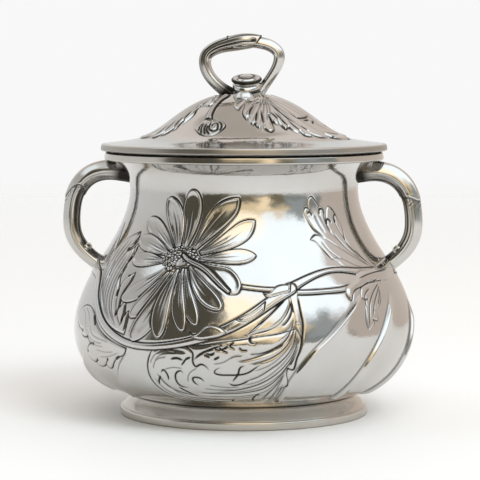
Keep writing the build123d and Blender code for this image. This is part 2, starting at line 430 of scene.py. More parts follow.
SCROLL_LINES = [
    [(21.4, 42), (19, 38.2), (14.6, 34.8), (8, 32)],
    [(22.4, 42.6), (20.8, 37), (17.6, 32.6), (13.8, 29.4), (9, 27.4)],
    [(22.8, 41), (21.6, 35), (18.4, 30), (14.6, 26), (10, 22.8), (5, 21.4)],
    [(23.4, 38.6), (22, 32), (18.9, 27), (14, 22), (8, 18.8), (1, 17.4), (-6, 17.6)],
    [(22.4, 33), (20, 28.4), (17.2, 22.6), (13, 17.8), (6, 15.4), (-2, 14.8), (-9, 15.2)],
    [(19, 24.6), (17.6, 20), (16.8, 16.6), (15, 12.6)],
    [(18.4, 20), (17, 17.6), (16.9, 14.6), (15.2, 11)],
    [(19.4, 22), (17.4, 17), (15.8, 13), (15.4, 10.6)], [(13, 16.5), (8, 14.6), (2, 13.8)],
    [(-22, 21), (-18, 15.5), (-11, 13), (-3, 12.4), (4, 12.9)],
    [(-25.4, 24), (-23, 18), (-18.6, 14), (-12, 11.6), (-4, 10.6)],
    [(-23.8, 30), (-20.6, 33), (-15.8, 33.5)], [(-24.8, 27), (-23, 30.6), (-19, 32)],
    [(-25.6, 29), (-23.4, 32.4), (-20.6, 34.2)], [(-20.5, 27.2), (-17, 28.2), (-14, 27.9)],
    [(-6, 21.4), (-1, 20.4), (4.5, 20.6)], [(-8, 19.4), (-3, 18.9), (2, 19.2)],
    [(16, 14.5), (12.5, 12), (7, 11), (2, 10.8)], [(-13, 22.4), (-12, 26), (-9, 28.4)],
    [(-4, 30), (0, 31), (3, 33), (6, 33)],
]
SCROLL_CURLS = [
    [(-15.4, 37), (-12.5, 35.8), (-10.2, 33.6), (-10.3, 30.4), (-9.3, 28.9), (-8, 29.8), (-6.3, 29.2),
     (-5, 27.4)],
    [(-1.2, 28.7), (-2.6, 28.3), (-3.5, 26.8), (-2, 26), (1, 25.9), (4.4, 26), (8, 27.3), (10, 29),
     (11.6, 30.2)],
    [(6.4, 29.6), (4.8, 28.8), (4.2, 26.6), (3, 24.4), (2.2, 23)],
    [(0.9, 22.6), (2, 21.6), (5, 22), (7.8, 23.6)],
    [(-14.4, 29), (-13.2, 30.6), (-12.2, 31.8), (-10.6, 32.3)],
    [(-14.2, 25.6), (-14.6, 27), (-16, 26.6), (-17.1, 24.6), (-17.1, 22), (-16.2, 20.4), (-13.3, 19.7)],
    [(-7.2, 22.8), (-8.6, 24.4), (-11, 24.3), (-10.8, 22.4), (-9.4, 20.9)],
    [(-17.2, 20), (-16, 18.6), (-14.2, 17), (-12.4, 15.4)],
    [(-22.2, 25.6), (-21, 27), (-20, 25.6), (-20.1, 22.6)], [(-24.6, 20), (-23.8, 22.6), (-22.6, 24.6)],
    [(-10, 31.2), (-8.2, 33.2), (-5, 35), (-1.2, 36.6)], [(1.2, 11), (1.7, 12), (2.6, 13)],
    [(9.8, 10.6), (9.3, 13), (10, 15.2), (11.8, 17)],
    [(8.4, 40), (7.6, 38.6), (8.4, 37.4), (9.6, 37.5)], [(-4.6, 32.4), (-6.8, 33.4)],
    [(-1.6, 32.8), (-3.6, 31.6)], [(1.2, 34.2), (-0.6, 34.8), (-2, 36.2)],
    [(3.2, 35.4), (1.6, 36.6), (2.6, 37.6)], [(-18, 31.2), (-15.6, 31.8), (-13.4, 30.9)],
    [(-3.8, 36.4), (-2.4, 35), (-0.4, 35.4), (1, 36.8)], [(-6.2, 34), (-4.4, 33.4), (-3, 34.4)],
    [(4.4, 36.2), (5.4, 35), (7.2, 35.2)],
]
MAIN_STEM = [
    (-93, 60.5), (-80, 60.5), (-70, 59.5), (-63, 57.5), (-58, 52), (-53, 46.5), (-47.5, 41.6),
    (-42, 38.3), (-36, 36), (-28, 35), (-20, 35.7), (-12, 37.4), (-5, 39.8), (2, 43), (9, 47.4),
    (16, 52.4), (22.4, 56.4),
]
MAIN_STEM_WIDTHS = [2.8, 2.6, 2.3, 1.9, 1.6, 1.4, 1.4, 1.4, 1.3, 1.2, 1.2, 1.3, 1.5, 1.8, 1.9, 2.0, 2.2]
ARCH_STEM = [
    (74, 60.2), (68, 60.2), (62, 60.6), (54, 61.4), (46, 62.6), (39, 62.6), (32, 60.9), (26, 58.4),
    (21.5, 56),
]
ARCH_WIDTHS = [2.4, 2.2, 1.8, 1.5, 1.2, 1.0, 1.0, 1.2, 1.5, 2.0]
LOW_STEM = [(56, 57.6), (50, 56.4), (44, 55.3), (36, 54.9), (28, 54.8), (23.5, 55)]
DOWN_STEM = [(22.9, 56.6), (23.2, 52), (23.5, 48), (23.6, 44.5)]
DOWN_LINE = [
    (24.7, 53.5), (24.8, 48.9), (25.2, 43.1), (24.6, 38.7), (23.8, 34.3), (22.7, 30.3), (21.9, 27.4),
    (20.6, 28),
]
BACK_STEM = [(1, 58.1), (8, 57), (14, 56.3), (20, 56.2)]
ROOT_EDGE = [
    (94, 56.6),
    [(84, 58.3), (76, 57.8), (70, 56.6), (63, 57.6), (56, 56.8), (50, 54.9), (46.6, 52.9), (45.5, 51)],
    [(44.2, 52.8), (44, 54.6), (47, 57), (50.6, 58.6)],
    [(53, 60.8), (59, 61.5), (67, 62.4), (76, 63.7), (94, 64.4)],
]
ROOT_LINES = [
    [(57, 56.9), (51, 55.2), (46.8, 53), (45.4, 50.8), (44, 52.8), (44.2, 54.8)],
    [(63, 57.6), (59.6, 56.8), (56, 56.8)], [(74, 60.6), (66, 60.2), (58, 59.6), (52, 58.4)],
]
BRANCH_EDGE = [
    (21.3, 54.6),
    [(21.5, 51), (20.4, 48), (18, 44.6), (14.5, 42.1), (10, 40.8), (6.4, 39.8)],
    [(9.5, 42.6), (14, 47), (18, 51), (21.3, 54.6)],
]
CURL_EDGE = [
    (-8.2, 41),
    [(-6.4, 42.7), (-4, 43.4), (-1.5, 42.6), (0.4, 40.9)],
    [(-1.6, 39.8), (-5, 38.8), (-8.6, 38.5), (-10.6, 39.4), (-11.7, 41.2)], [(-10, 39.9), (-8.2, 41)],
]
HOOKS = [
    [
        (22.5, 57.9),
        [(18.5, 57.9), (16.4, 56.8), (14.6, 55.1), (12.6, 55.1)], [(13.8, 53.4), (16, 53.6), (22.5, 55)],
    ],
    [(13, 51.6), [(9.2, 48.4), (7.2, 47.1), (5.6, 46.4), (3.6, 45.3)], [(5.6, 44.6), (8, 45.2), (13, 49)]],
]
FERN_EDGE = [
    (66, 61.9),
    [(60, 61.3), (53, 61.8), (48, 63), (45.6, 66), (43.4, 67)], [(41, 70.6), (38.6, 73.6), (36, 75.2)],
    [(38.2, 76.6), (40.6, 76.8), (43, 75.4)],
    [(41.4, 77), (39.4, 78.4), (37.6, 80.6), (35.8, 83.6), (35.5, 85.6), (36.6, 87)],
    [(38, 86.6), (39.4, 84.4)],
    [(38.2, 87), (38.4, 89.6), (40.2, 90.8), (42.4, 89.4), (44.2, 86.8), (44, 84.6)],
    [(45, 86.4), (46.2, 86.2), (47, 84.6)], [(46.4, 81.4), (48, 77.8)],
    [(47, 80.6), (48, 84), (50.4, 87), (52.4, 86.2), (54.2, 84.2)],
    [(56.2, 81), (56.6, 78.4), (55.6, 75), (56, 71.4), (57.2, 69.8)],
    [(58.6, 69.8), (61, 67), (63.4, 64.6), (66, 61.9)],
]
FERN_LINES = [
    [(64, 62.8), (57, 66.5), (50, 71), (43.5, 75.2)],
    [(63, 63.2), (57, 68), (51, 74), (45.6, 80), (42.6, 85.6)],
    [(63.4, 63.8), (59, 69), (55, 75), (52.4, 81), (51.6, 85)],
    [(60, 62.2), (53, 64.4), (47.4, 67.2), (43.8, 67.2)], [(47.6, 67), (43.6, 70.4), (41.2, 74.2)],
    [(60, 65.5), (53.4, 71.6), (49.4, 77.4)], [(61.4, 65.6), (57, 71), (54.8, 76)],
    [(57.4, 69.8), (58, 68.4), (59.4, 66.8)], [(44.4, 77.4), (42.4, 80), (40.6, 84)],
]
FERN_CURLS = [
    [(49.8, 80.8), (49.2, 82), (47.8, 82.2), (47.2, 80.4)],
    [(53, 80.8), (52.8, 82.6), (53.8, 84), (55, 83)], [(37, 84.6), (38.4, 85.4), (39.6, 84)],
    [(44, 84.4), (44.4, 86), (45.8, 86.4)],
]
DROP_LEAF_EDGE = [
    (66, 57),
    [(58, 56.6), (52.6, 55.6), (50, 51.8)], [(50.6, 49), (50.2, 45.4), (49.7, 41.6), (50.4, 39.4)],
    [(52.4, 40.8), (53.6, 42), (53.2, 43.4)], [(55.6, 42.8), (56, 44.6), (55.4, 46.2)],
    [(58.6, 48), (61, 50.6), (62.2, 53.4), (66, 57)],
]
DROP_LEAF_LINES = [
    [(63, 56), (57.6, 53), (53.6, 49), (51.6, 44), (50.8, 40.6)],
    [(62.6, 55), (58.6, 51.6), (55.8, 48.6), (53.6, 44.4)], [(61.8, 53.6), (60, 51), (58, 48.4)],
    [(53.6, 51), (52, 50.4), (50.4, 51.4)], [(56, 54.4), (52.6, 52.4), (51.4, 48)],
]
PLUME_EDGE = [
    (-36, 38.4),
    [(-43, 40.6), (-49, 45), (-54, 51), (-58.6, 57.5), (-62, 61)],
    [(-62.6, 65), (-60.4, 69.6), (-57, 73.4), (-52.4, 75.6), (-47.4, 77.2)],
    [(-46.8, 75), (-50.4, 69.4)], [(-47.6, 70.6), (-45.2, 73.2)],
    [(-44.6, 70), (-45.6, 66), (-46.4, 61), (-44, 55)], [(-42.6, 58.4), (-38.8, 61.2)],
    [(-38.8, 58), (-40.6, 53), (-40.3, 47.6)], [(-38.4, 50), (-37, 45)],
    [(-35.8, 46.8), (-35.2, 42), (-36, 38.4)],
]
PLUME_LINES = [
    [(-37.6, 41), (-41, 45.8), (-43, 51), (-43.6, 55.6)],
    [(-39.6, 40.6), (-43.8, 46), (-46, 52.6), (-46.6, 58), (-45.4, 64.4)],
    [(-41, 41.6), (-45.4, 47), (-47.8, 54), (-48, 61), (-46.6, 68)],
    [(-43, 42), (-47.6, 48), (-49.8, 56), (-49.8, 63), (-48.6, 67.6)],
    [(-44.6, 43), (-49.6, 49.6), (-52, 58), (-51.6, 66), (-48.6, 72)],
    [(-46.6, 44.4), (-51.8, 51.6), (-54, 60), (-53.4, 68), (-50.2, 74)],
    [(-48.8, 46.6), (-54, 54), (-56.2, 62), (-55.6, 69), (-53, 74)],
    [(-51.4, 49.4), (-56.4, 57), (-58.6, 64.4), (-57.8, 70.6)],
    [(-54.4, 53), (-58.8, 59.4), (-60.6, 65)], [(-53.6, 58), (-55, 62), (-55.2, 65.4)],
    [(-44.8, 67.6), (-46.4, 71.2)], [(-50.8, 70), (-48.4, 71.8), (-46.8, 74)],
]
PLUME_MARKS = [
    [(-44.2, 55.4), (-43.6, 53.4), (-43.6, 51)], [(-40.5, 47.8), (-41, 45.6), (-41.4, 44)],
    [(-42.2, 59.4), (-40.6, 60.4)], [(-47, 70.8), (-45.6, 72.8)], [(-46.2, 64.8), (-45, 67.6)],
    [(-37.4, 45.2), (-37.6, 43), (-38.2, 41.4)], [(-48.6, 75.4), (-47.6, 77)],
]
FEATHER_EDGE = [
    (-64, 60.5),
    [(-67.6, 65), (-68.8, 71), (-68.9, 79.6)], [(-66, 74.8), (-63.6, 70), (-61.4, 66.4), (-60.8, 62)],
    [(-62.4, 60.4), (-64, 60.5)],
]
FEATHER_LINES = [
    [(-63.4, 61.6), (-66, 67), (-67.6, 73), (-68.4, 77)], [(-62.6, 62), (-64.6, 67.4), (-66, 71.6)],
    [(-61.8, 62.6), (-62.8, 66.4), (-64, 69.4)],
]
SCALLOP_EDGE = [
    (-35, 33.6),
    [(-44, 36.4), (-50, 40), (-54, 44.2)], [(-56.6, 45.7), (-62, 46.4), (-66.3, 44.8), (-69, 42)],
    [(-68.1, 40.3), (-65.3, 38.3), (-61.1, 37.4)], [(-62.3, 36.2), (-60, 35.2), (-56.7, 35.5)],
    [(-56.2, 34.3), (-54.4, 33.6), (-52.6, 33.5)],
    [(-55.6, 32.9), (-57.6, 31.2), (-58.9, 28.4), (-56.6, 26.9), (-54.4, 26.2)],
    [(-53, 27), (-51.9, 27.5)], [(-53.4, 25.7), (-51.1, 25), (-47.9, 25.8)],
    [(-46.4, 27.1), (-45.2, 28.6)], [(-46.9, 25.7), (-45.4, 24.9), (-43.5, 25.9)],
    [(-41.4, 28.4), (-38.9, 30.2)], [(-36.6, 31), (-35, 33.6)],
]
SCALLOP_LINES = [
    [(-56.5, 38.6), (-55.3, 36.2), (-53.2, 34.8), (-50.1, 34.2), (-46.6, 34.3)],
    [(-55, 40.4), (-53.3, 37.3), (-50, 36), (-47, 35.6), (-43, 35)],
    [(-53.6, 42), (-51, 40.2), (-47.5, 37.4), (-43, 35.9)],
    [(-58.6, 40.8), (-57.6, 37.6), (-55.4, 34.6), (-51, 33.2), (-46, 33)],
    [(-51, 31.6), (-46, 31.2), (-41, 31.8)], [(-49.6, 29), (-46, 29.4), (-42, 30.4), (-38.6, 31.8)],
    [(-64, 45), (-60, 42.6), (-58.4, 39.4)], [(-61, 45.6), (-57.4, 43.4), (-55.4, 40.6)],
]
SCALLOP_MARKS = [
    [(-53.6, 43.7), (-52.6, 41.8), (-51.4, 40)], [(-53.1, 33.3), (-51.9, 33.7)],
    [(-52.4, 27.2), (-51.5, 27.9)], [(-45.5, 28.1), (-44.8, 29.1)], [(-61.4, 37.6), (-60.2, 37)],
    [(-57.2, 35.7), (-55.8, 35.2)], [(-40.6, 29.1), (-38.6, 30.4)], [(-58.2, 30.6), (-57, 30)],
]
BRANCH_CREASE = [(21.4, 52), (21.8, 48.6), (20.6, 45.4), (18.4, 43)]
BRANCH_VEIN = [(20, 52.6), (15, 47.6), (10.6, 43.4)]
BACK_WIDTHS = [0.9, 0.9]
LOW_WIDTHS = [1.1, 1.1, 1.0, 0.95, 0.95, 1.0]
DOWN_WIDTHS = [1.6, 1.4, 1.2, 0.8]


def draw_leaves(relief):
    """The scroll, the scallop, the plume with its feather, the drop leaf and the fern."""
    relief.patch(outline(*SCROLL_EDGE), 0.35, bevel=1.6, edge=0.18, dark=0.95, vary=0.1)
    relief.groove(SCROLL_SIDE, width=0.34, depth=0.25, dark=1.0)
    relief.grooves(SCROLL_FLUTES, width=0.85, depth=0.42, dark=0.12, fade=0.3)
    relief.grooves(SCROLL_FLUTES, width=0.26, depth=0.14, dark=0.75)
    relief.grooves(SCROLL_LINES, width=0.3, depth=0.2, dark=0.5)
    relief.grooves(SCROLL_CURLS, width=0.34, depth=0.3, dark=1.0, fade=0.3)
    relief.patch(outline(*SCALLOP_EDGE), 0.3, bevel=1.0, edge=0.2, dark=1.0, vary=0.1)
    relief.grooves(SCALLOP_LINES, width=0.28, depth=0.14, dark=0.4)
    relief.grooves(SCALLOP_MARKS, width=0.45, depth=0.25, dark=1.0)
    relief.patch(outline(*PLUME_EDGE), 0.4, bevel=1.2, edge=0.2, dark=1.0, vary=0.1)
    relief.grooves(PLUME_MARKS, width=0.42, depth=0.3, dark=1.0, fade=0.4)
    relief.grooves(PLUME_LINES, width=0.5, depth=0.2, dark=0.1)
    relief.grooves(PLUME_LINES, width=0.26, depth=0.14, dark=0.65, fade=0.2)
    relief.patch(outline(*FEATHER_EDGE), 0.4, bevel=1.0, edge=0.2, dark=0.95)
    relief.grooves(FEATHER_LINES, width=0.3, depth=0.3, dark=1.0, fade=0.3)
    relief.patch(outline(*DROP_LEAF_EDGE), 0.22, bevel=0.6, edge=0.16, dark=0.7)
    relief.grooves(DROP_LEAF_LINES, width=0.28, depth=0.2, dark=0.7)
    relief.patch(outline(*FERN_EDGE), 0.2, bevel=0.6, edge=0.2, dark=1.0)
    relief.grooves(FERN_LINES, width=0.28, depth=0.12, dark=0.45)
    relief.grooves(FERN_CURLS, width=0.3, depth=0.25, dark=1.0)


def draw_stems(relief):
    """The stems, the leaf sheaths that they come out of, and their hooked ends."""
    relief.ridge(BACK_STEM, BACK_WIDTHS, 0.4, dark=0.9)
    relief.ridge(LOW_STEM, LOW_WIDTHS, 0.5, dark=0.9)
    relief.ridge(DOWN_STEM, DOWN_WIDTHS, 0.3, edge=0.0, dark=0.0)
    relief.groove(DOWN_LINE, width=0.4, depth=0.36, dark=1.0, fade=0.1)
    relief.groove(BRANCH_CREASE, width=0.3, depth=0.3, dark=0.9)
    relief.ridge(ARCH_STEM, ARCH_WIDTHS, 0.6, dark=0.9)
    relief.patch(outline(*ROOT_EDGE), 0.8, bevel=3.0, edge=0.03, dark=0.35)
    relief.grooves(ROOT_LINES, width=0.28, depth=0.16, dark=0.8)
    relief.patch(outline(*BRANCH_EDGE), 0.55, bevel=1.0, edge=0.22, dark=0.9)
    relief.groove(BRANCH_VEIN, width=0.35, depth=0.3, dark=0.8)
    relief.ridge(MAIN_STEM, MAIN_STEM_WIDTHS, 0.85, dark=0.9, flutes=(-0.35, 0.3))
    for hook in HOOKS:
        relief.patch(outline(*hook), 0.75, bevel=0.9, edge=0.08, dark=0.8)
    relief.patch(outline(*CURL_EDGE), 0.6, bevel=0.9, edge=0.2, dark=0.95, rim=0.15)


def draw_body(relief, scale):
    for line in RIBS:
        relief.rib(line, 1.2, 3.2, 0.8)
    draw_leaves(relief)
    draw_stems(relief)
    draw_flower(relief, scale)
    # Painted shade along the wall's lowest rows, where the wall turns under above the foot.
    crevice_shade = bell((relief.b - RELIEF_START) / 0.7)
    relief.dark = np.maximum(relief.dark, crevice_shade)


# ---- relief of the lid, drawn in plan: mm along X and Y --------------------------
LID_LEAF_EDGE = [
    (1.8, -11.6),
    [(1.3, -14.6), (2.1, -17.7), (1.8, -21.8), (2.4, -24), (3.6, -25.6)], [(3.8, -24.8), (4.4, -24.1)],
    [(4.4, -26), (5.2, -27.2), (6.3, -27.7)], [(6.5, -27), (7, -26.5)], [(7.2, -27.8), (8.8, -28.8)],
    [(9.1, -27.4), (9.7, -26.5)], [(9.9, -28), (11.3, -28.9), (12.9, -29), (13.6, -27.4)],
    [(12.9, -24.9), (10.9, -21.2)], [(13, -23.8), (15, -24)], [(14.6, -22.9), (14.6, -21.9)],
    [(15.8, -24), (17.7, -25)], [(17.9, -24), (18.4, -23.1)], [(20.1, -24), (22.1, -24.3)],
    [(22.2, -23.2), (22.5, -22.3)], [(24.5, -24.2), (26.8, -23)], [(26.2, -21.2), (25, -19.9)],
    [(28.4, -21), (30.4, -20), (32, -17.6)], [(31.4, -15.8), (30.8, -14.8)],
    [(34.6, -14.6), (37.4, -10.4), (39.6, -5)], [(36.4, -5.6), (33.6, -4), (31.2, -1.6)],
    [(27.4, -5.4), (24, -4.5)], [(20, -4.4), (15, -5), (10.5, -6.4)],
    [(8, -9.6), (5, -11), (1.8, -11.6)],
]
LID_LEAF_NOTCHES = [
    [(4.4, -24.4), (4.4, -21.5), (5.4, -18)], [(7, -26.8), (6.8, -24), (7, -20.6)],
    [(9.7, -26.8), (9, -23.6), (8, -20)], [(13.4, -27), (12.2, -23.6), (10.6, -20.4)],
    [(14.6, -22.2), (12.8, -20.4), (10.9, -19.4)], [(18.4, -23.4), (15.6, -21), (12.4, -18.6)],
    [(22.5, -22.6), (20, -21.2), (17.4, -19.6)],
    [(16.9, -14.7), (20, -15.4), (22.4, -12.8), (23.9, -6)],
    [(22.6, -14.6), (23.8, -12.4), (24.4, -10.2)], [(25.8, -12.4), (25.9, -8)],
    [(30.1, -13.5), (33.6, -8.8), (35.6, -3.4)], [(32.6, -17), (34, -13.6)],
    [(9.6, -13.7), (14.1, -16.9), (18.4, -18.9), (21, -19.2)], [(25, -20.2), (23.6, -19.4), (22, -19)],
]
LID_LEAF_LINES = [
    [(6.6, -12), (5, -17), (3, -23.5)], [(7.2, -12), (7.4, -18), (5.6, -26)],
    [(7.8, -12), (8.8, -18), (8.4, -26.4)], [(8.4, -11.6), (10.6, -17), (12, -26.4)],
    [(9, -11.4), (13, -16.6), (17, -23)], [(9.4, -11), (16, -16.6), (24, -20.6)],
    [(9.8, -10.4), (17, -14), (26, -15.6), (33.6, -14.6)],
    [(10.2, -9.6), (17, -11), (25, -10.4), (33, -7)], [(8, -11.8), (9.8, -17.4), (10.6, -24.6)],
    [(10, -12.2), (15, -17.2), (20, -20.8)], [(13, -14.2), (15.9, -15.6), (18, -16.2)],
    [(14, -8), (22, -8.4), (29, -5)],
]
LID_SIDE_EDGE = [
    (-8.6, -8),
    [(-8.6, -11.4), (-9.4, -14.6), (-10.6, -15.4), (-13.2, -14)],
    [(-14.5, -12.7), (-15.8, -14.5), (-16.3, -17.3), (-17.8, -18.6), (-20.2, -19.9)],
    [(-19.7, -18.6), (-19.9, -17.3)], [(-21.2, -18.4), (-22, -20.3), (-23.6, -21.8)],
    [(-23.1, -20.4), (-23.2, -19)], [(-25.2, -20.8), (-27.9, -21.6)], [(-27, -20), (-26.6, -18.4)],
    [(-28.6, -19.4), (-31.1, -21)], [(-31.6, -17), (-34.6, -14.6), (-37.4, -9)],
    [(-33, -8.6), (-29, -6)], [(-22, -6), (-15, -5), (-9, -5.4)], [(-8.4, -6.6), (-8.6, -8)],
]
LID_SIDE_LINES = [
    [(-9, -9.8), (-14, -11.6), (-19.4, -17.6)], [(-9.4, -9.2), (-17, -12.6), (-23, -19.6)],
    [(-9.6, -8.6), (-19, -12.6), (-27, -20)], [(-9.8, -8), (-20, -11.4), (-30, -18.4)],
    [(-10, -7.4), (-20, -9.8), (-32, -13.6)], [(-10, -6.8), (-18, -7.8), (-27, -8.4)],
]
LID_SIDE_NOTCHES = [
    [(-13.4, -13.6), (-12.6, -11.8), (-11, -11.2)], [(-19.9, -17.6), (-18.8, -15.6), (-17, -14)],
    [(-23.2, -19.4), (-22, -16.8), (-20, -14.8)], [(-26.6, -18.8), (-25, -16), (-22.6, -13.8)],
    [(-30.4, -19.6), (-28.4, -16), (-25.6, -12.6)], [(-35, -13), (-31.6, -12.4), (-28.6, -10.6)],
]
LID_BUD_EDGE = [
    (-10.8, -23.5),
    [(-12.2, -24), (-13.6, -25.4), (-14.7, -26.8)],
    [(-13.6, -28.9), (-11.6, -31.6), (-9.7, -32.9), (-7.6, -32.8), (-5.9, -31.7), (-4.4, -29.9),
     (-3.6, -28.4), (-4.3, -26.8), (-6.2, -25.4), (-8.5, -24.2), (-10.8, -23.5)],
]
LID_BUD_SEAMS = [
    [(-13.2, -28.9), (-12.6, -26.6), (-11.6, -25)], [(-11.8, -31.1), (-12.1, -28.6), (-11.2, -26)],
    [(-10.3, -32.2), (-10.9, -29.4), (-10.2, -26.4)], [(-8.7, -32.6), (-10, -30), (-9.6, -27.4)],
]
LID_BUD_CURLS = [
    [(-8.6, -26), (-9.2, -28.6), (-8.2, -31), (-6.7, -30.8), (-6.1, -28.8), (-7, -27.2), (-8, -27.6),
     (-7.9, -29.3)],
    [(-5.6, -30.8), (-4.9, -29), (-5.4, -27), (-6.6, -26)],
]
LID_BUD_STEM = [(-5.4, -9), (-7.6, -13), (-8.8, -16.3), (-9.7, -19.5), (-10.2, -22.4), (-10.2, -24.6)]
LID_TWIG_EDGE = [
    (2, -12),
    [(-0.4, -15), (-1.9, -17.4), (-1.2, -19.6), (0.2, -21)], [(1, -18.6), (2.2, -15.6), (3.4, -12)],
]
LID_MOUND = (1.3, -11.6, 3.8, 2.8)     # swelling under the finial's boss: centre and half sizes
LID_BUD_STEM_WIDTHS = [1.3, 1.1, 1.0, 0.9, 1.0, 1.5]


def draw_lid(relief):
    for edge, lines, notches in (
        (LID_SIDE_EDGE, LID_SIDE_LINES, LID_SIDE_NOTCHES),
        (LID_LEAF_EDGE, LID_LEAF_LINES, LID_LEAF_NOTCHES),
    ):
        relief.patch(outline(*edge), 0.62, bevel=0.85, edge=0.2, dark=0.95, rim=0.12, vary=0.3)
        relief.grooves(lines, width=0.32, depth=0.12, dark=0.35)
        relief.grooves(notches, width=0.4, depth=0.34, dark=1.0, fade=0.5)
    relief.patch(outline(*LID_TWIG_EDGE), 0.5, bevel=1.0, edge=0.2, dark=0.7)
    relief.patch(ellipse(*LID_MOUND), 2.3, bevel=2.7, edge=0.1, dark=0.5)
    relief.ridge(LID_BUD_STEM, LID_BUD_STEM_WIDTHS, 0.8, dark=0.9)
    relief.patch(outline(*LID_BUD_EDGE), 1.2, bevel=2.6, edge=0.25, dark=0.9)
    relief.grooves(LID_BUD_SEAMS, width=0.42, depth=0.4, dark=0.95, fade=0.2)
    relief.grooves(LID_BUD_CURLS, width=0.36, depth=0.5, dark=1.0, fade=0.15)


# ---- meshes ----------------------------------------------------------------------
def new_mesh(name, verts, faces, dark, rounded=None):
    """A mesh in metres from points in mm.

    The first rounded faces, or all of them, are smooth shaded. The faces after those
    are flat, with sharp edges.
    """
    mesh = bpy.data.meshes.new(name)
    mesh.from_pydata((np.asarray(verts, float) * MM).tolist(), [], faces)
    rounded = len(faces) if rounded is None else rounded
    mesh.polygons.foreach_set("use_smooth", np.arange(len(faces)) < rounded)
    # darkness per point: oxide in the hollows, and painted shade in gaps, crevices and on shaded sides
    shades = mesh.attributes.new("patina_and_shade", "FLOAT", "POINT")
    shades.data.foreach_set("value", dark)
    sharp = {key for polygon in mesh.polygons[rounded:] for key in polygon.edge_keys}
    if sharp:
        mark = mesh.attributes.new("sharp_edge", "BOOLEAN", "EDGE")
        mark.data.foreach_set("value", [edge.key in sharp for edge in mesh.edges])
    mesh.validate()
    obj = bpy.data.objects.new(name, mesh)
    bpy.context.scene.collection.objects.link(obj)
    return obj


def grid_faces(rows, columns, first=0, closed=False, looped=False, flip=False):
    """Quads of a grid of points; closed joins its sides, and looped its ends."""
    down = rows if looped else rows - 1
    across = columns if closed else columns - 1
    i, j = np.meshgrid(np.arange(down), np.arange(across), indexing="ij")
    row, next_row = i * columns, (i + 1) % rows * columns
    beside = (j + 1) % columns
    quads = np.stack([row + j, row + beside, next_row + beside, next_row + j], -1)
    quads = quads.reshape(-1, 4) + first
    return (quads[:, ::-1] if flip else quads).tolist()


def profile(points, step, outside):
    """Evenly spaced outline points, their outward normals and their arc lengths."""
    p = natural(points, OUTLINE_PLACES)
    arc = distances(p)
    places = np.linspace(0, arc[-1], int(arc[-1] / step) + 1)
    at = np.column_stack([np.interp(places, arc, p[:, 0]), np.interp(places, arc, p[:, 1])])
    along = tangents(at)
    return at, outside * np.column_stack([along[:, 1], -along[:, 0]]), places


def turned_points(radius, height, angle):
    """Points round Z; angle 0 is the front (-Y) and grows towards +X."""
    points = np.broadcast_arrays(radius * np.sin(angle), -radius * np.cos(angle), height)
    return np.stack(points, -1).reshape(-1, 3)


def skin_and_lining(points, outside, thickness, rise, angle):
    """Points of a chased skin and of its plain lining, and how many rows each has."""
    outer, normal, _ = profile(points, GRID, outside)
    skin = turned_points(outer[:, :1] + normal[:, :1] * rise, outer[:, 1:] + normal[:, 1:] * rise, angle)
    inner, normal, _ = profile(points, LINING_STEP, outside)
    inner = inner - normal * thickness
    level = np.minimum if outside == OUT_ON_RIGHT else np.maximum
    inner[:, 1] = level(inner[:, 1], outer[-1, 1])
    lining = turned_points(inner[:, :1], inner[:, 1:], angle)
    return np.vstack([skin, lining]), len(outer), len(inner)


def tarnish_and_shade(relief, count):
    """Darkness of the relief's skin, oxide and painted shade, and the satin value for all other points."""
    return np.r_[np.clip(relief.dark, 0, 1), np.full(count - relief.dark.size, SATIN)]


BODY_COPIES = [(1, 0, 1), (1, 180, 1), (1, -180, 1)]
LID_COPIES = [(1, 0, 1), (-1, 0, -1)]
CROWN_FADE = 2.0        # the lid's relief fades out over this distance before the crown


def body_half():
    """Points, faces, darkness and number of smooth faces of the wall's front half."""
    outer, _, arc = profile(BODY_OUTLINE, GRID, OUT_ON_RIGHT)
    columns = int(math.pi * BELLY_RADIUS / GRID) + 1
    turn = np.linspace(-90, 90, columns)
    up = arc + RELIEF_START
    degree = outer[:, 0] * math.pi / 180        # mm per degree round the bowl
    a, v = np.meshgrid(turn, up)
    relief = Relief(a, v, np.repeat(degree, columns), BODY_COPIES)
    draw_body(relief, (up, degree))
    rise = relief.height.reshape(a.shape)
    rise *= ease(np.minimum(up - RELIEF_START, up[-1] - up) / RELIEF_END)[:, None]
    points, rows, inner_rows = skin_and_lining(BODY_OUTLINE, OUT_ON_RIGHT, WALL, rise, np.radians(turn))
    count = rows * columns
    faces = grid_faces(rows, columns) + grid_faces(inner_rows, columns, count, flip=True)
    rounded = len(faces)
    top, inner_top = count - columns, len(points) - columns
    for low, high, flip in ((0, count, True), (top, inner_top, False)):
        for j in range(columns - 1):
            quad = [low + j, low + j + 1, high + j + 1, high + j]
            faces.append(quad[::-1] if flip else quad)
    for column, flip in ((0, False), (columns - 1, True)):
        seam = list(range(column, count, columns))
        seam += range(len(points) - columns + column, count - 1, -columns)
        faces.append(seam[::-1] if flip else seam)
    return points, faces, tarnish_and_shade(relief, len(points)), rounded


def lid_dome():
    """Points, faces, darkness and number of smooth faces of the dome, closed over its crown."""
    outer, _, arc = profile(LID_OUTLINE, GRID, OUT_ON_LEFT)
    columns = int(2 * math.pi * LID_RADIUS / GRID)
    angle = full_turn(columns)
    x, y = outer[:, :1] * np.sin(angle), -outer[:, :1] * np.cos(angle)
    relief = Relief(x, y, np.ones_like(x), LID_COPIES)
    draw_lid(relief)
    rise = relief.height.reshape(x.shape)
    rise *= (ease((arc[-1] - arc) / RELIEF_END) * ease(arc / CROWN_FADE))[:, None]
    points, rows, inner_rows = skin_and_lining(LID_OUTLINE, OUT_ON_LEFT, LID_WALL, rise, angle)
    count = rows * columns
    faces = grid_faces(rows, columns, closed=True, flip=True)
    faces += grid_faces(inner_rows, columns, count, closed=True)
    rounded = len(faces)
    edge, inner_edge = count - columns, len(points) - columns
    for j in range(columns):
        k = (j + 1) % columns
        faces.append([edge + j, inner_edge + j, inner_edge + k, edge + k])
    faces.append(list(range(columns)))
    faces.append(list(range(count, count + columns))[::-1])
    return points, faces, tarnish_and_shade(relief, len(points)), rounded


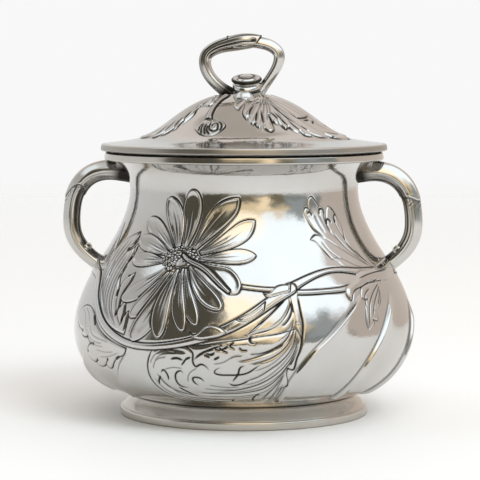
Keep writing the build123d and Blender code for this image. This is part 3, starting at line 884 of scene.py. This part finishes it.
def lathe(name, section, columns):
    """A ring turned about Z from a closed section of (radius, height, darkness) points."""
    radius, height, dark = np.asarray(section, float).T[:, :, None]
    points = turned_points(radius, height, full_turn(columns))
    faces = grid_faces(len(section), columns, closed=True, looped=True)
    return new_mesh(name, points, faces, np.repeat(dark, columns))


CORNER_SHARE = 0.45     # a rounded corner takes at most this share of the sides next to it
CORNER_PLACES = np.linspace(0, 1, 5)


def softened(section, radius):
    """A closed section with every corner rounded by a small arc."""
    p = np.asarray(section, float)
    out = []
    for i in range(len(p)):
        before, here, after = p[i - 1], p[i], p[(i + 1) % len(p)]
        back, on = before - here, after - here
        long_back, long_on = np.linalg.norm(back[:2]), np.linalg.norm(on[:2])
        reach = min(radius, CORNER_SHARE * long_back, CORNER_SHARE * long_on)
        start = here + back / long_back * reach
        end = here + on / long_on * reach
        for t in CORNER_PLACES:
            out.append((1 - t) ** 2 * start + 2 * t * (1 - t) * here + t * t * end)
    return out


def tube(line, radii, shape, around=72, step=0.35):
    """Points, faces and darkness of a closed rod in the XZ plane.

    shape(u, turn) returns the factor on the radius and the darkness, where u runs
    along the rod and turn goes round it, 0 outwards from the line's left side.
    """
    count = int(distances(line)[-1] / step) + 2
    path = natural(line, count)
    along = tangents(path)
    stations = np.linspace(0, 10, len(radii))
    places, radius = natural(np.column_stack([stations, radii]), 200).T
    u, turn = np.meshgrid(np.linspace(0, 1, count), full_turn(around), indexing="ij")
    factor, dark = shape(u, turn)
    r = np.interp(u * stations[-1], places, radius) * factor
    x = path[:, :1] - along[:, 1:] * r * np.cos(turn)
    z = path[:, 1:] + along[:, :1] * r * np.cos(turn)
    points = np.stack([x, -r * np.sin(turn), z], -1).reshape(-1, 3)
    faces = grid_faces(count, around, closed=True)
    faces.append(list(range(around))[::-1])
    faces.append(list(range(len(points) - around, len(points))))
    return points, faces, dark.ravel()


def joined(*meshes):
    """Several closed meshes as one list of points, faces and darkness."""
    points, faces, dark, first = [], [], [], 0
    for p, f, d in meshes:
        points.append(p)
        dark.append(d)
        faces += [[i + first for i in face] for face in f]
        first += len(p)
    return np.vstack(points), faces, np.concatenate(dark)


# ---- handles and finial ----------------------------------------------------------
# Facets are (direction round the rod, distance from its middle), and flutes are (place
# round the rod, depth, darkness). Distances and depths are shares of the radius.
FACET_SHARPNESS = 9
HANDLE_LINE = [
    (40.6, 88.6), (46, 89.2), (51, 89.1), (55.8, 87.6), (59.6, 84.4), (62.0, 80.0), (63.0, 75.4),
    (63.3, 70.8), (62.8, 66.2), (61.0, 62.2), (58.2, 58.8), (54.8, 56.0), (50.6, 53.6),
]
HANDLE_RADII = [4.6, 4.1, 3.8, 3.75, 3.7, 3.6, 3.5, 3.5, 3.5, 3.4, 3.25, 3.2, 3.6]
HANDLE_FACETS = [(1.15, 0.85), (2.3, 0.86), (math.pi, 0.92), (4.0, 0.86), (5.5, 0.84)]
HANDLE_FLUTES = [(2.55, 0.07, 0.9), (3.75, 0.07, 0.9), (1.6, 0.03, 0.4), (4.7, 0.03, 0.4)]
HANDLE_SHIFT = {"left": 1.0, "right": -1.0}
HANDLE_PRESS = 0.91     # how far an end that passes the wall's middle is pressed back
SHEATH_END = 0.42       # where along the handle, from 0 to 1, the leaf sheath's mouth lies
SHEATH_RISE = 0.06      # the sheath's thickness, as a share of the radius
MOUTH_DROP = 0.014      # the sheath ends over this share of the handle's length
MOUTH_LIP = 0.012       # half width of the lip round the mouth
HAIR_PLACES = [1.9, 2.4, 2.9, 3.4, 3.9]     # fine lines along the sheath, round the rod
CURL_PLACE = (57.7, 60.5)
CURL_RADIUS = 1.9
CURL_TURNS, CURL_ROWS = 32, 16


def facetted(turn, facets):
    """A round section cut flat, with soft corners, at each (direction, distance)."""
    total = np.ones_like(turn)
    for direction, distance in facets:
        total = total + (np.clip(np.cos(turn - direction), 0, 1) / distance) ** FACET_SHARPNESS
    return total ** (-1 / FACET_SHARPNESS)


def fluted(u, turn, flutes, width, sway, waves):
    """Depth and darkness of long wavering flutes in a rod."""
    depths, dark = np.zeros_like(u), np.zeros_like(u)
    for place, depth, shade in flutes:
        flute = bell((turn - place - sway * np.sin(waves * u + place)) / width)
        depths += depth * flute
        dark = np.maximum(dark, shade * flute)
    return depths, dark


def handle_shape(u, turn):
    """A leaf sheath on the upper part, its slanted mouth, and long soft flutes."""
    mouth = SHEATH_END + 0.05 * np.sin(turn + 0.6) + 0.02 * np.cos(2 * turn)
    sheath = ease((mouth - u) / MOUTH_DROP + 0.5)
    lip = bell((u - mouth + MOUTH_LIP) / MOUTH_LIP)
    # Painted shade in the step just below the sheath's mouth.
    crevice_shade = bell((2 * (u - mouth) - MOUTH_LIP) / MOUTH_LIP)
    depths, flutes = fluted(u, turn, HANDLE_FLUTES, 0.11, 0.25, 3)
    ends = ease(u / 0.08) * ease((0.97 - u) / 0.22)
    hairs = sum(bell((turn - place - 0.5 * u) / 0.06) for place in HAIR_PLACES)
    hairs *= sheath * ease((u - 0.05) / 0.1)
    bark = np.clip(np.sin(61 * turn + 9 * np.sin(140 * u)) * np.sin(330 * u + 5 * turn), 0, 1)
    bark *= (1 - sheath) * bell((u - mouth - 0.03) / 0.035)
    inside = (1 - np.cos(turn)) / 2         # 0 on the handle's outer side, 1 on its inner side
    # Painted shade at the upper end, where the handle meets the neck, strongest on its inner side.
    root = bell(u / 0.12) * (0.15 + 0.85 * ease(inside * 1.6))
    factor = facetted(turn, HANDLE_FACETS) + SHEATH_RISE * sheath * ease(u / 0.12) + 0.02 * lip
    factor -= depths * ends + 0.02 * hairs + 0.03 * bark
    # The inner side is darkened as painted shade, where it faces the bowl.
    shades = [0.75 * crevice_shade, flutes * ends, 0.45 * hairs, 0.9 * bark, 0.45 * inside**3, root]
    dark = np.max(shades, axis=0) * ease((1 - u) / 0.12)
    # Painted shade on the inner side at the lower end, where the handle meets the belly.
    return factor, np.maximum(dark, 0.35 * bell((1 - u) / 0.05) * inside**3)


def curl(centre, radius):
    """A small curled leaf end: a bead with a rolled rim round a dark eye."""
    rows = np.linspace(0, math.pi, CURL_ROWS + 2)[1:-1]
    t, w = np.meshgrid(full_turn(CURL_TURNS), rows, indexing="xy")
    swell = 1 - 0.35 * bell(w / 0.5) + 0.1 * bell((w - 0.8) / 0.3)
    x = centre[0] + radius * swell * np.sin(w) * np.cos(t)
    z = centre[1] + radius * swell * np.sin(w) * np.sin(t)
    y = -(radius + 0.9) * swell * np.cos(w)
    points = np.stack([x, y, z], -1).reshape(-1, 3)
    faces = grid_faces(CURL_ROWS, CURL_TURNS, closed=True, flip=True)
    faces.append(list(range(CURL_TURNS)))
    faces.append(list(range(len(points) - CURL_TURNS, len(points)))[::-1])
    return points, faces, (0.9 * bell(w / 0.45)).ravel()


def tucked(points):
    """The points, with ends that pass the middle of the body's wall pressed back into it."""
    outer, normal, _ = profile(BODY_OUTLINE, 1.0, OUT_ON_RIGHT)
    middle = outer - normal * WALL / 2
    radius = np.hypot(points[:, 0], points[:, 1])
    over = np.clip(np.interp(points[:, 2], middle[:, 1], middle[:, 0]) - radius, 0, None)
    out = 1 + HANDLE_PRESS * over / radius
    return points * np.column_stack([out, out, np.ones_like(out)])


def handle(side):
    rod = tube(HANDLE_LINE, HANDLE_RADII, handle_shape)
    points, faces, dark = joined(rod, curl(CURL_PLACE, CURL_RADIUS))
    points = tucked(points + (HANDLE_SHIFT[side], 0, 0))
    if side == "left":
        points[:, :2] *= -1
    return new_mesh(f"handle_{side}_cast", points, faces, dark)


LOOP_LEFT = [
    (-3.6, 116.6), (-7.6, 119.2), (-11.6, 122.8), (-14.2, 127.6), (-13.9, 131.6), (-10.6, 134.3),
    (-5.0, 135.9), (0.8, 136.75), (5.4, 136.7),
]
LOOP_LEFT_RADII = [2.9, 2.3, 2.2, 2.25, 2.35, 2.6, 2.95, 3.05, 2.3]
LOOP_LEFT_FACETS = [(1.3, 0.88), (2.5, 0.86), (4.9, 0.88)]
LOOP_LEFT_FLUTES = [(0.75, 0.06, 0.7), (2.0, 0.1, 0.95), (4.3, 0.06, 0.7), (5.4, 0.05, 0.5)]
LOOP_RIGHT = [
    (1.5, 136.6), (5.5, 136.3), (10.2, 134.9), (12.8, 132.2), (12.5, 128.6), (10.4, 124.6),
    (7.6, 120.6), (4.4, 116.6),
]
LOOP_RIGHT_RADII = [1.8, 2.2, 2.2, 2.1, 1.9, 1.8, 1.9, 2.5]
LOOP_RIGHT_FACETS = [(1.1, 0.9), (4.4, 0.9)]
LOOP_UPPER = 130        # the loop's upper part starts at this height
LOOP_CUT_SLANT = 0.5
FINIAL_PRESS = 0.8      # how far a foot that passes the crown's middle is pressed back


def loop_left_shape(u, turn):
    """A flattened stem that opens into a sheath, with a crest line and flutes."""
    depths, flutes = fluted(u, turn, LOOP_LEFT_FLUTES, 0.13, 0.45, 3.2)
    ends = ease((u - 0.32) / 0.25) * ease((1 - u) / 0.05)
    knob = bell((u - 0.73) / 0.012) * bell((turn - 0.3) / 0.35)
    eye = bell((u - 0.945) / 0.022) * bell((turn - 1.35) / 0.3)
    # Painted shade down the outer side of the lower stem.
    outer = ease((np.cos(turn - 0.35) - 0.5) / 0.5) * ease((0.62 - u) / 0.25)
    # Painted shade at the foot on the lid and at the cut top end over the other stem.
    root, tip = bell(u / 0.16), bell((1 - u) / 0.012)
    factor = facetted(turn, LOOP_LEFT_FACETS) - depths * ends + 0.12 * knob - 0.22 * eye
    shades = [flutes * ends, 0.42 * outer, root, 0.95 * tip, 0.9 * eye, 0.8 * knob]
    return factor, np.max(shades, axis=0)


def loop_right_shape(u, turn):
    """A thinner facetted stem with one crease."""
    crease = bell((turn - 2.5) / 0.16) * ease((u - 0.25) / 0.2)
    factor = facetted(turn, LOOP_RIGHT_FACETS) - 0.06 * crease
    # Painted shade at the lower end, where the stem meets the lid.
    return factor, np.clip(0.7 * crease + 0.8 * bell((1 - u) / 0.05), 0, 1)


def seated(points):
    """The points, with feet that pass the middle of the lid's crown pressed back into it."""
    over = np.clip(LID_OUTLINE[0][1] - LID_WALL / 2 - points[:, 2], 0, None)
    return points + np.outer(FINIAL_PRESS * over, (0, 0, 1))


def finial_loop():
    left = tube(LOOP_LEFT, LOOP_LEFT_RADII, loop_left_shape, around=64, step=0.25)
    points = left[0]
    cut_end = ease((points[:, 0] + 2) / 7) * (points[:, 2] > LOOP_UPPER)
    points[:, 0] += LOOP_CUT_SLANT * (points[:, 2] - LOOP_LEFT[-1][1]) * cut_end
    right = tube(LOOP_RIGHT, LOOP_RIGHT_RADII, loop_right_shape, around=56, step=0.25)
    points, faces, dark = joined(left, right)
    return new_mesh("finial_loop_cast", seated(points), faces, dark)


BOSS_LEAN = math.radians(17)    # how far the cut stem end leans towards the front
BOSS_PLACE = (1.2, -0.6, 117.4)
BOSS_FORWARD = 2.6              # how far the boss's foot swells towards the front
BOSS_ROWS, BOSS_COLUMNS = 110, 96
BOSS_SECTION = [
    (0.02, -1.6), (5.2, -1.6), (5.4, -0.4), (5.4, 0.7), (5.0, 1.6), (4.6, 2.1), (4.9, 2.6), (5.2, 3.4),
    (5.1, 4.2), (4.75, 4.75), (5.2, 5.15), (5.6, 5.6), (5.5, 6.05), (4.7, 6.4), (4.3, 6.3), (3.9, 6.6),
    (3.2, 6.9), (2.7, 6.85), (2.3, 7.1), (1.4, 7.35), (0.02, 7.5),
]
BOSS_DARK = [0, 0, 0, 0, 0.15, 0.9, 0.15, 0, 0.15, 0.9, 0.15, 0, 0, 0.4, 0.9, 0.1, 0, 0.8, 0, 0, 0]


def finial_boss():
    places = np.linspace(0, len(BOSS_DARK) - 1, BOSS_ROWS)
    shade = np.interp(places, range(len(BOSS_DARK)), BOSS_DARK)
    section = np.column_stack([natural(BOSS_SECTION, BOSS_ROWS), shade])
    piece = lathe("finial_boss_cast", section, BOSS_COLUMNS)
    co = np.empty(len(piece.data.vertices) * 3)
    piece.data.vertices.foreach_get("co", co)
    x, upright_y, upright_z = co.reshape(-1, 3).T / MM
    y = upright_y * math.cos(BOSS_LEAN) - upright_z * math.sin(BOSS_LEAN)
    z = upright_y * math.sin(BOSS_LEAN) + upright_z * math.cos(BOSS_LEAN)
    y -= BOSS_FORWARD * ease((4 - z) / 5) * ease((1 - y) / 4)
    co = seated(np.column_stack([x, y, z]) + BOSS_PLACE) * MM
    piece.data.vertices.foreach_set("co", co.ravel())
    return piece


# ---- plain turned rings ----------------------------------------------------------
BAND_LEAN = 0.22        # how far a band's upright face leans in towards its top
RIM_BORE = 44.2
LID_BAND_BORE = 46.0
FOOT_BORE = 42.8
BEZEL_BORE, BEZEL_OUTSIDE, FLANGE = 42.5, 43.7, 0.55
PLATE_LINE = 29.6       # radius of a turned line round the bottom plate
AXIS = 0.02             # radius of the tiny hole at a disc's middle
BAND_SOFT, BEZEL_SOFT, PLATE_SOFT = 0.3, 0.2, 0.15      # radii of the turned corners


def extent(node):
    """Bottom, top and radius of a round node, in mm."""
    low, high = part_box(node)
    return low[2] / MM, high[2] / MM, high[0] / MM


def bands():
    """Node and section of each turned ring, sized by the CAD boxes of the nodes.

    A section lists (radius, height, darkness) corners.
    """
    bottom, top, wide = extent("rim_band")
    # Painted shadow on the top where the lid's band covers it, and painted shade on the underside.
    yield "rim_band", softened([
        (RIM_BORE, bottom, 0.3), (wide - 0.4, bottom, 0.5), (wide, bottom + 0.45, 0),
        (wide - BAND_LEAN, top - 0.45, 0), (wide - 0.7, top, 0.1), (wide - 1.3, top, 1),
        (wide - 1.7, top, 1), (wide - 2.6, top, 0.12), (RIM_BORE, top, 0.12),
    ], BAND_SOFT)
    bottom, top, wide = extent("lid_rim_band")
    # Painted shadow on the underside, where it covers the rim band's top.
    yield "lid_rim_band", softened([
        (LID_BAND_BORE, bottom, 0.12), (wide - 2.6, bottom, 0.12), (wide - 1.7, bottom, 1),
        (wide - 1.3, bottom, 1), (wide - 0.3, bottom, 0.4), (wide, bottom + 0.35, 0.27),
        (wide - 0.2, top - 0.5, 0.27), (wide - 0.5, top - 0.1, 0), (51.3, top + 0.05, 0),
        (LID_BAND_BORE, top, 0),
    ], BAND_SOFT)
    bottom, top, wide = extent("foot_rim_band")
    # Painted shade on the underside and its lower edge, where the band stands on the floor.
    yield "foot_rim_band", softened([
        (FOOT_BORE, bottom, 0.3), (wide - 0.1, bottom, 0.6), (wide, bottom + 0.5, 0), (wide, top - 0.5, 0),
        (wide - 0.25, top, 0), (FOOT_BORE, top, 0),
    ], BAND_SOFT)
    flare = natural([(41.5, 7.8), (42.1, 6.4), (43.3, 5.0), (45.1, top - 0.1)], 14)
    back = natural([(43.3, top - 0.1), (41.6, 5.0), (40.3, 6.4), (39.7, 7.8)], 10)
    # Painted shade, darkest at the flare's top under the overhanging wall.
    shade = np.exp(-np.arange(len(flare) + len(back)) / 0.9)
    yield "foot_ring", np.column_stack([np.vstack([flare, back]), shade])
    bottom, top, wide = extent("lid_bezel")
    # Painted shade on the flange, seen through the gap under the lid's band.
    yield "lid_bezel", softened([
        (BEZEL_BORE, bottom, 0), (BEZEL_OUTSIDE, bottom, 0), (BEZEL_OUTSIDE, top - FLANGE, 0.5),
        (wide, top - FLANGE, 0.15), (wide, top, 0.15), (BEZEL_BORE, top, 0),
    ], BEZEL_SOFT)
    bottom, top, wide = extent("bottom_plate")
    yield "bottom_plate", softened([
        (AXIS, bottom, 0), (wide, bottom, 0.3), (wide, top, 0.3), (PLATE_LINE + 0.4, top, 0),
        (PLATE_LINE, top - 0.12, 0.2), (PLATE_LINE - 0.4, top, 0), (AXIS, top, 0),
    ], PLATE_SOFT)


# ---- materials -------------------------------------------------------------------
MIX_FACTOR, MIX_ONE, MIX_TWO, MIX_RESULT = 0, 6, 7, 2      # places of a Mix node's colour sockets
# Dark tone for oxide in the hollows and for painted shade in gaps, crevices and on shaded sides.
GRIME_AND_SHADE = (0.03, 0.028, 0.024)
GRIME_AND_SHADE_RANGE = (0.08, 0.68)      # darkness values where the dark tone of oxide and painted shade starts and where it is full
CLOUD_TINT = (0.93, 0.91, 0.88)
CLOUDS, STAINS, DENTS = (55, 4), (140, 5), (70, 2)      # noise scale and detail
POLISHED = (900, 3)
TURNED = (500, 3, (0.06, 0.06, 9))      # marks of the lathe: noise scale, detail and stretch
MARK_DEPTH, DENT_DEPTH = 0.0004, 0.0006
# What stains, the dark tone of oxide and painted shade, and the unpolished lining each add to the
# roughness.
STAIN_ROUGHNESS, GRIME_ROUGHNESS, SATIN_ROUGHNESS = 0.07, 0.3, 0.26


class Graph:
    """Short ways to add and link the nodes of a material or of the world."""

    def __init__(self, owner):
        owner.use_nodes = True
        self.nodes, self.links = owner.node_tree.nodes, owner.node_tree.links

    def feed(self, slot, value):
        """Link a socket into a slot, or set the slot to a number or a colour."""
        if isinstance(value, bpy.types.NodeSocket):
            self.links.new(value, slot)
        else:
            slot.default_value = (*value, 1) if isinstance(value, tuple) else value

    def math(self, kind, *values):
        node = self.nodes.new("ShaderNodeMath")
        node.operation = kind
        for slot, value in zip(node.inputs, values):
            self.feed(slot, value)
        return node.outputs[0]

    def spread(self, value, low, high, to_low=0, to_high=1, kind="LINEAR"):
        """The value moved from one range to another, and kept within it."""
        node = self.nodes.new("ShaderNodeMapRange")
        node.interpolation_type = kind
        for slot, number in zip(node.inputs, (value, low, high, to_low, to_high)):
            self.feed(slot, number)
        return node.outputs[0]

    def blend(self, factor, one, two):
        node = self.nodes.new("ShaderNodeMix")
        node.data_type = "RGBA"
        for slot, value in ((MIX_FACTOR, factor), (MIX_ONE, one), (MIX_TWO, two)):
            self.feed(node.inputs[slot], value)
        return node.outputs[MIX_RESULT]

    def noise(self, source, scale, detail, stretch=None):
        node = self.nodes.new("ShaderNodeTexNoise")
        node.inputs["Scale"].default_value = scale
        node.inputs["Detail"].default_value = detail
        if stretch:
            mapping = self.nodes.new("ShaderNodeMapping")
            mapping.inputs["Scale"].default_value = stretch
            self.links.new(source, mapping.inputs["Vector"])
            source = mapping.outputs["Vector"]
        self.links.new(source, node.inputs["Vector"])
        return node.outputs

    def bump(self, height, strength, distance):
        node = self.nodes.new("ShaderNodeBump")
        node.inputs["Strength"].default_value = strength
        node.inputs["Distance"].default_value = distance
        self.links.new(height, node.inputs["Height"])
        return node


def pewter(name, tone, rough, marks=POLISHED, grain=0.05):
    """Polished pewter: tone, tarnished clouds, dark oxide in recesses with painted shade, and fine
    polishing marks.
    """
    material = bpy.data.materials.new(name)
    graph = Graph(material)
    shader = graph.nodes["Principled BSDF"]
    shader.inputs["Metallic"].default_value = 1.0
    place = graph.nodes.new("ShaderNodeTexCoord").outputs["Object"]
    attribute = graph.nodes.new("ShaderNodeAttribute")
    attribute.attribute_name = "patina_and_shade"
    patina_and_shade = attribute.outputs["Fac"]

    cloud = graph.spread(graph.noise(place, *CLOUDS)["Fac"], 0.35, 0.7)
    silver = graph.blend(cloud, tone, tuple(t * w for t, w in zip(tone, CLOUD_TINT)))
    grime_and_shade = graph.spread(patina_and_shade, *GRIME_AND_SHADE_RANGE)
    graph.feed(shader.inputs["Base Color"], graph.blend(grime_and_shade, silver, GRIME_AND_SHADE))

    matt = graph.spread(graph.noise(place, *STAINS)["Fac"], 0.3, 0.75, rough, rough + STAIN_ROUGHNESS)
    matt = graph.math("ADD", matt, graph.spread(grime_and_shade, 0, 1, 0, GRIME_ROUGHNESS))
    matt = graph.math("ADD", matt, graph.spread(patina_and_shade, 0, SATIN, 0, SATIN_ROUGHNESS))
    graph.feed(shader.inputs["Roughness"], matt)

    dents = graph.bump(graph.noise(place, *DENTS)["Fac"], 0.12, DENT_DEPTH)
    scratches = graph.bump(graph.noise(place, *marks)["Fac"], grain, MARK_DEPTH)
    graph.feed(scratches.inputs["Normal"], dents.outputs["Normal"])
    graph.feed(shader.inputs["Normal"], scratches.outputs["Normal"])
    return material


CHASED = pewter("pewter_chased", (0.597, 0.59, 0.578), 0.055)
CAST = pewter("pewter_cast", (0.583, 0.571, 0.549), 0.06, (260, 2), 0.03)
PLAIN = pewter("pewter_plain", (0.562, 0.536, 0.50), 0.2, TURNED)
BRIGHT = pewter("pewter_bright_band", (0.567, 0.551, 0.526), 0.07, TURNED)
INNER = pewter("pewter_inner", (0.52, 0.51, 0.49), 0.28)


# ---- assembly --------------------------------------------------------------------
def dress(piece, material, body, node):
    piece.data.materials.append(material)
    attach(piece, body)
    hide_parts(node)


half_points, *half = body_half()
front = new_mesh("body_front_chased", half_points, *half)
back = new_mesh("body_back_chased", half_points * (-1, -1, 1), *half)
dress(front, CHASED, "bowl", "body_front_half")
dress(back, CHASED, "bowl", "body_back_half")
dress(new_mesh("lid_dome_chased", *lid_dome()), CHASED, "lid", "lid_dome")
for side in ("left", "right"):
    dress(handle(side), CAST, "bowl", f"handle_{side}")
dress(finial_loop(), CAST, "lid", "finial_loop")
dress(finial_boss(), CAST, "lid", "finial_boss")
for node, section in bands():
    piece = lathe(f"{node}_turned", section, PLATE_COLUMNS if node == "bottom_plate" else RING_COLUMNS)
    owner = "lid" if node.startswith("lid") else "bowl"
    inner = node in ("bottom_plate", "lid_bezel")
    finish = INNER if inner else BRIGHT if node == "rim_band" else PLAIN
    dress(piece, finish, owner, node)


# ---- studio ----------------------------------------------------------------------
FLOOR_SIZE = 3.0
FLOOR_CLOUDS = (6, 2)           # noise scale and detail
FLOOR_FADE = (0.35, 1.9)        # the paper melts into the backdrop between these distances, in metres
FLOOR_TONES = [(0.90, 0.90, 0.895, 1), (0.94, 0.94, 0.935, 1)]


def floor_material():
    material = bpy.data.materials.new("paper_floor")
    graph = Graph(material)
    shader = graph.nodes["Principled BSDF"]
    shader.inputs["Roughness"].default_value = 0.6
    place = graph.nodes.new("ShaderNodeTexCoord").outputs
    ramp = graph.nodes.new("ShaderNodeValToRGB")
    for element, tone in zip(ramp.color_ramp.elements, FLOOR_TONES):
        element.color = tone
    graph.feed(ramp.inputs["Fac"], graph.noise(place["Generated"], *FLOOR_CLOUDS)["Fac"])
    graph.feed(shader.inputs["Base Color"], ramp.outputs["Color"])
    distance = graph.nodes.new("ShaderNodeVectorMath")
    distance.operation = "LENGTH"
    graph.feed(distance.inputs[0], place["Object"])
    fade = graph.spread(distance.outputs["Value"], *FLOOR_FADE, 1, 0, "SMOOTHSTEP")
    graph.feed(shader.inputs["Alpha"], fade)
    return material


def floor():
    mesh = bpy.data.meshes.new("floor")
    corners = [(x * FLOOR_SIZE, y * FLOOR_SIZE, 0) for x, y in ((-1, -1), (1, -1), (1, 1), (-1, 1))]
    mesh.from_pydata(corners, [], [(0, 1, 2, 3)])
    obj = bpy.data.objects.new("floor", mesh)
    obj.data.materials.append(floor_material())
    bpy.context.scene.collection.objects.link(obj)


def from_bowl(turn, rise):
    """Direction from the bowl, by bearing (0 is the front) and height angle in degrees."""
    turn, rise = math.radians(turn), math.radians(rise)
    return Vector((math.cos(rise) * math.sin(turn), -math.cos(rise) * math.cos(turn), math.sin(rise)))


WINDOW_WAY = from_bowl(44, 44)
WINDOW_AWAY = 1.7
WINDOW_SIZE = (0.8, 0.6)
WINDOW_POWER = 9
WINDOW_COLOUR = (0.95, 0.98, 1.0)
BOWL_MIDDLE = Vector((0, 0, 0.06))


def window_light():
    """A soft box aimed at the bowl, which the metal doesn't mirror."""
    data = bpy.data.lights.new("window", "AREA")
    data.shape = "RECTANGLE"
    data.size, data.size_y = WINDOW_SIZE
    data.energy = WINDOW_POWER
    data.color = WINDOW_COLOUR
    light = bpy.data.objects.new("window", data)
    light.location = WINDOW_WAY * WINDOW_AWAY + BOWL_MIDDLE
    light.rotation_euler = (-WINDOW_WAY).to_track_quat("-Z", "Y").to_euler()
    light.visible_glossy = False
    bpy.context.scene.collection.objects.link(light)


# The soft studio round the bowl, in degrees: left and right bearing, low and high
# angle, how soft its sides and its ends are, and its colour.
STUDIO_PANELS = [
    (84, 400, -30, 40, 5, 5, (0.75, 0.66, 0.59)),        # warm wall on the right and behind
    (84, 400, 30, 120, 24, 24, (0.93, 0.85, 0.80)),      # its lit upper part and the ceiling
    (-400, -118, 26, 120, 20, 20, (0.93, 0.86, 0.81)),   # the same, round the back
    (-400, -120, 48, 130, 14, 5, (0.62, 0.56, 0.50)),    # dim part of the ceiling behind
    (166, 400, 48, 130, 14, 5, (0.62, 0.56, 0.50)),      # the same, over the seam behind
    (-34, 10, 46, 76, 12, 10, (1.50, 1.58, 1.62)),       # blind over the window's left
    (-12, 95, 24, 74, 10, 9, (1.62, 1.78, 1.90)),        # wide window
    (-14, 22, 20, 46, 16, 14, (1.95, 1.72, 1.34)),       # its warmer end
    (-16, 50, 8, 27, 9, 14, (1.15, 0.93, 0.60)),         # sill below the window
    (28, 52, -1, 18, 14, 12, (0.42, 0.40, 0.32)),        # dim right end of the sill
    (-16, 52, -3, 12, 5, 8, (0.27, 0.235, 0.16)),        # dark strip under the sill
    (19, 31, 1, 22, 9, 9, (1.5, 1.22, 0.82)),            # a lit gap in that strip
    (48, 86, -2, 17, 7, 8, (0.34, 0.37, 0.36)),          # bushes at the window's right
    (52, 72, 6, 28, 8, 9, (0.46, 0.50, 0.51)),           # the taller one of them
    (-62, -12, -6, 56, 13, 9, (0.115, 0.105, 0.08)),     # dark flag left of the window
    (-112, -64, 24, 60, 18, 16, (0.62, 0.615, 0.60)),    # its soft edge
    (-106, -70, 41, 66, 10, 9, (1.30, 1.40, 1.48)),      # skylight high on the left
]
STUDIO_BASE = (0.80, 0.80, 0.79)
STUDIO_RIPPLE = (5, 2)          # noise scale and detail
STUDIO_SWAY = (26, 16)          # how far the panels' edges waver, in degrees of bearing and height
BACKDROP = (0.94, 0.94, 0.94)


def world():
    """White to the camera; to the metal, a studio of soft panels by direction."""
    studio = bpy.data.worlds.new("studio")
    graph = Graph(studio)
    place = graph.nodes.new("ShaderNodeTexCoord").outputs["Generated"]
    split = graph.nodes.new("ShaderNodeSeparateXYZ")
    graph.feed(split.inputs[0], place)
    x, y, z = split.outputs
    bearing = graph.math("DEGREES", graph.math("ARCTAN2", x, graph.math("MULTIPLY", y, -1)))
    rise = graph.math("DEGREES", graph.math("ARCSINE", z))
    sway = graph.nodes.new("ShaderNodeSeparateColor")
    graph.feed(sway.inputs[0], graph.noise(place, *STUDIO_RIPPLE)["Color"])
    across, up = (graph.math("SUBTRACT", channel, 0.5) for channel in sway.outputs[:2])
    bearing = graph.math("MULTIPLY_ADD", across, STUDIO_SWAY[0], bearing)
    rise = graph.math("MULTIPLY_ADD", up, STUDIO_SWAY[1], rise)

    def edge(value, at, soft):
        return graph.spread(value, at - soft / 2, at + soft / 2, kind="SMOOTHSTEP")

    colour = STUDIO_BASE
    for left, right, low, high, side, end, shade in STUDIO_PANELS:
        inside = graph.math("SUBTRACT", edge(bearing, left, side), edge(bearing, right, side))
        level = graph.math("SUBTRACT", edge(rise, low, end), edge(rise, high, end))
        colour = graph.blend(graph.math("MULTIPLY", inside, level), colour, shade)
    seen = graph.nodes.new("ShaderNodeLightPath").outputs["Is Camera Ray"]
    graph.feed(graph.nodes["Background"].inputs["Color"], graph.blend(seen, colour, BACKDROP))
    bpy.context.scene.world = studio


CAMERA_TURN = math.radians(6)
CAMERA_AWAY = 0.79
CAMERA_HEIGHT = 0.1261
CAMERA_LENS, CAMERA_SENSOR = 160.8, 36
AIM_SIDE, AIM_HEIGHT = -0.00146, 0.0637


def camera():
    data = bpy.data.cameras.new("camera")
    data.lens = CAMERA_LENS
    data.sensor_width = CAMERA_SENSOR
    data.clip_start = 0.01
    eye = bpy.data.objects.new("camera", data)
    c, s = math.cos(CAMERA_TURN), math.sin(CAMERA_TURN)
    place = Vector((CAMERA_AWAY * s, -CAMERA_AWAY * c, CAMERA_HEIGHT))
    aim = Vector((AIM_SIDE * c, AIM_SIDE * s, AIM_HEIGHT))
    eye.location = place
    eye.rotation_euler = (aim - place).to_track_quat("-Z", "Y").to_euler()
    bpy.context.scene.collection.objects.link(eye)
    bpy.context.scene.camera = eye


bpy.context.scene.view_settings.view_transform = "Standard"
floor()
world()
window_light()
camera()
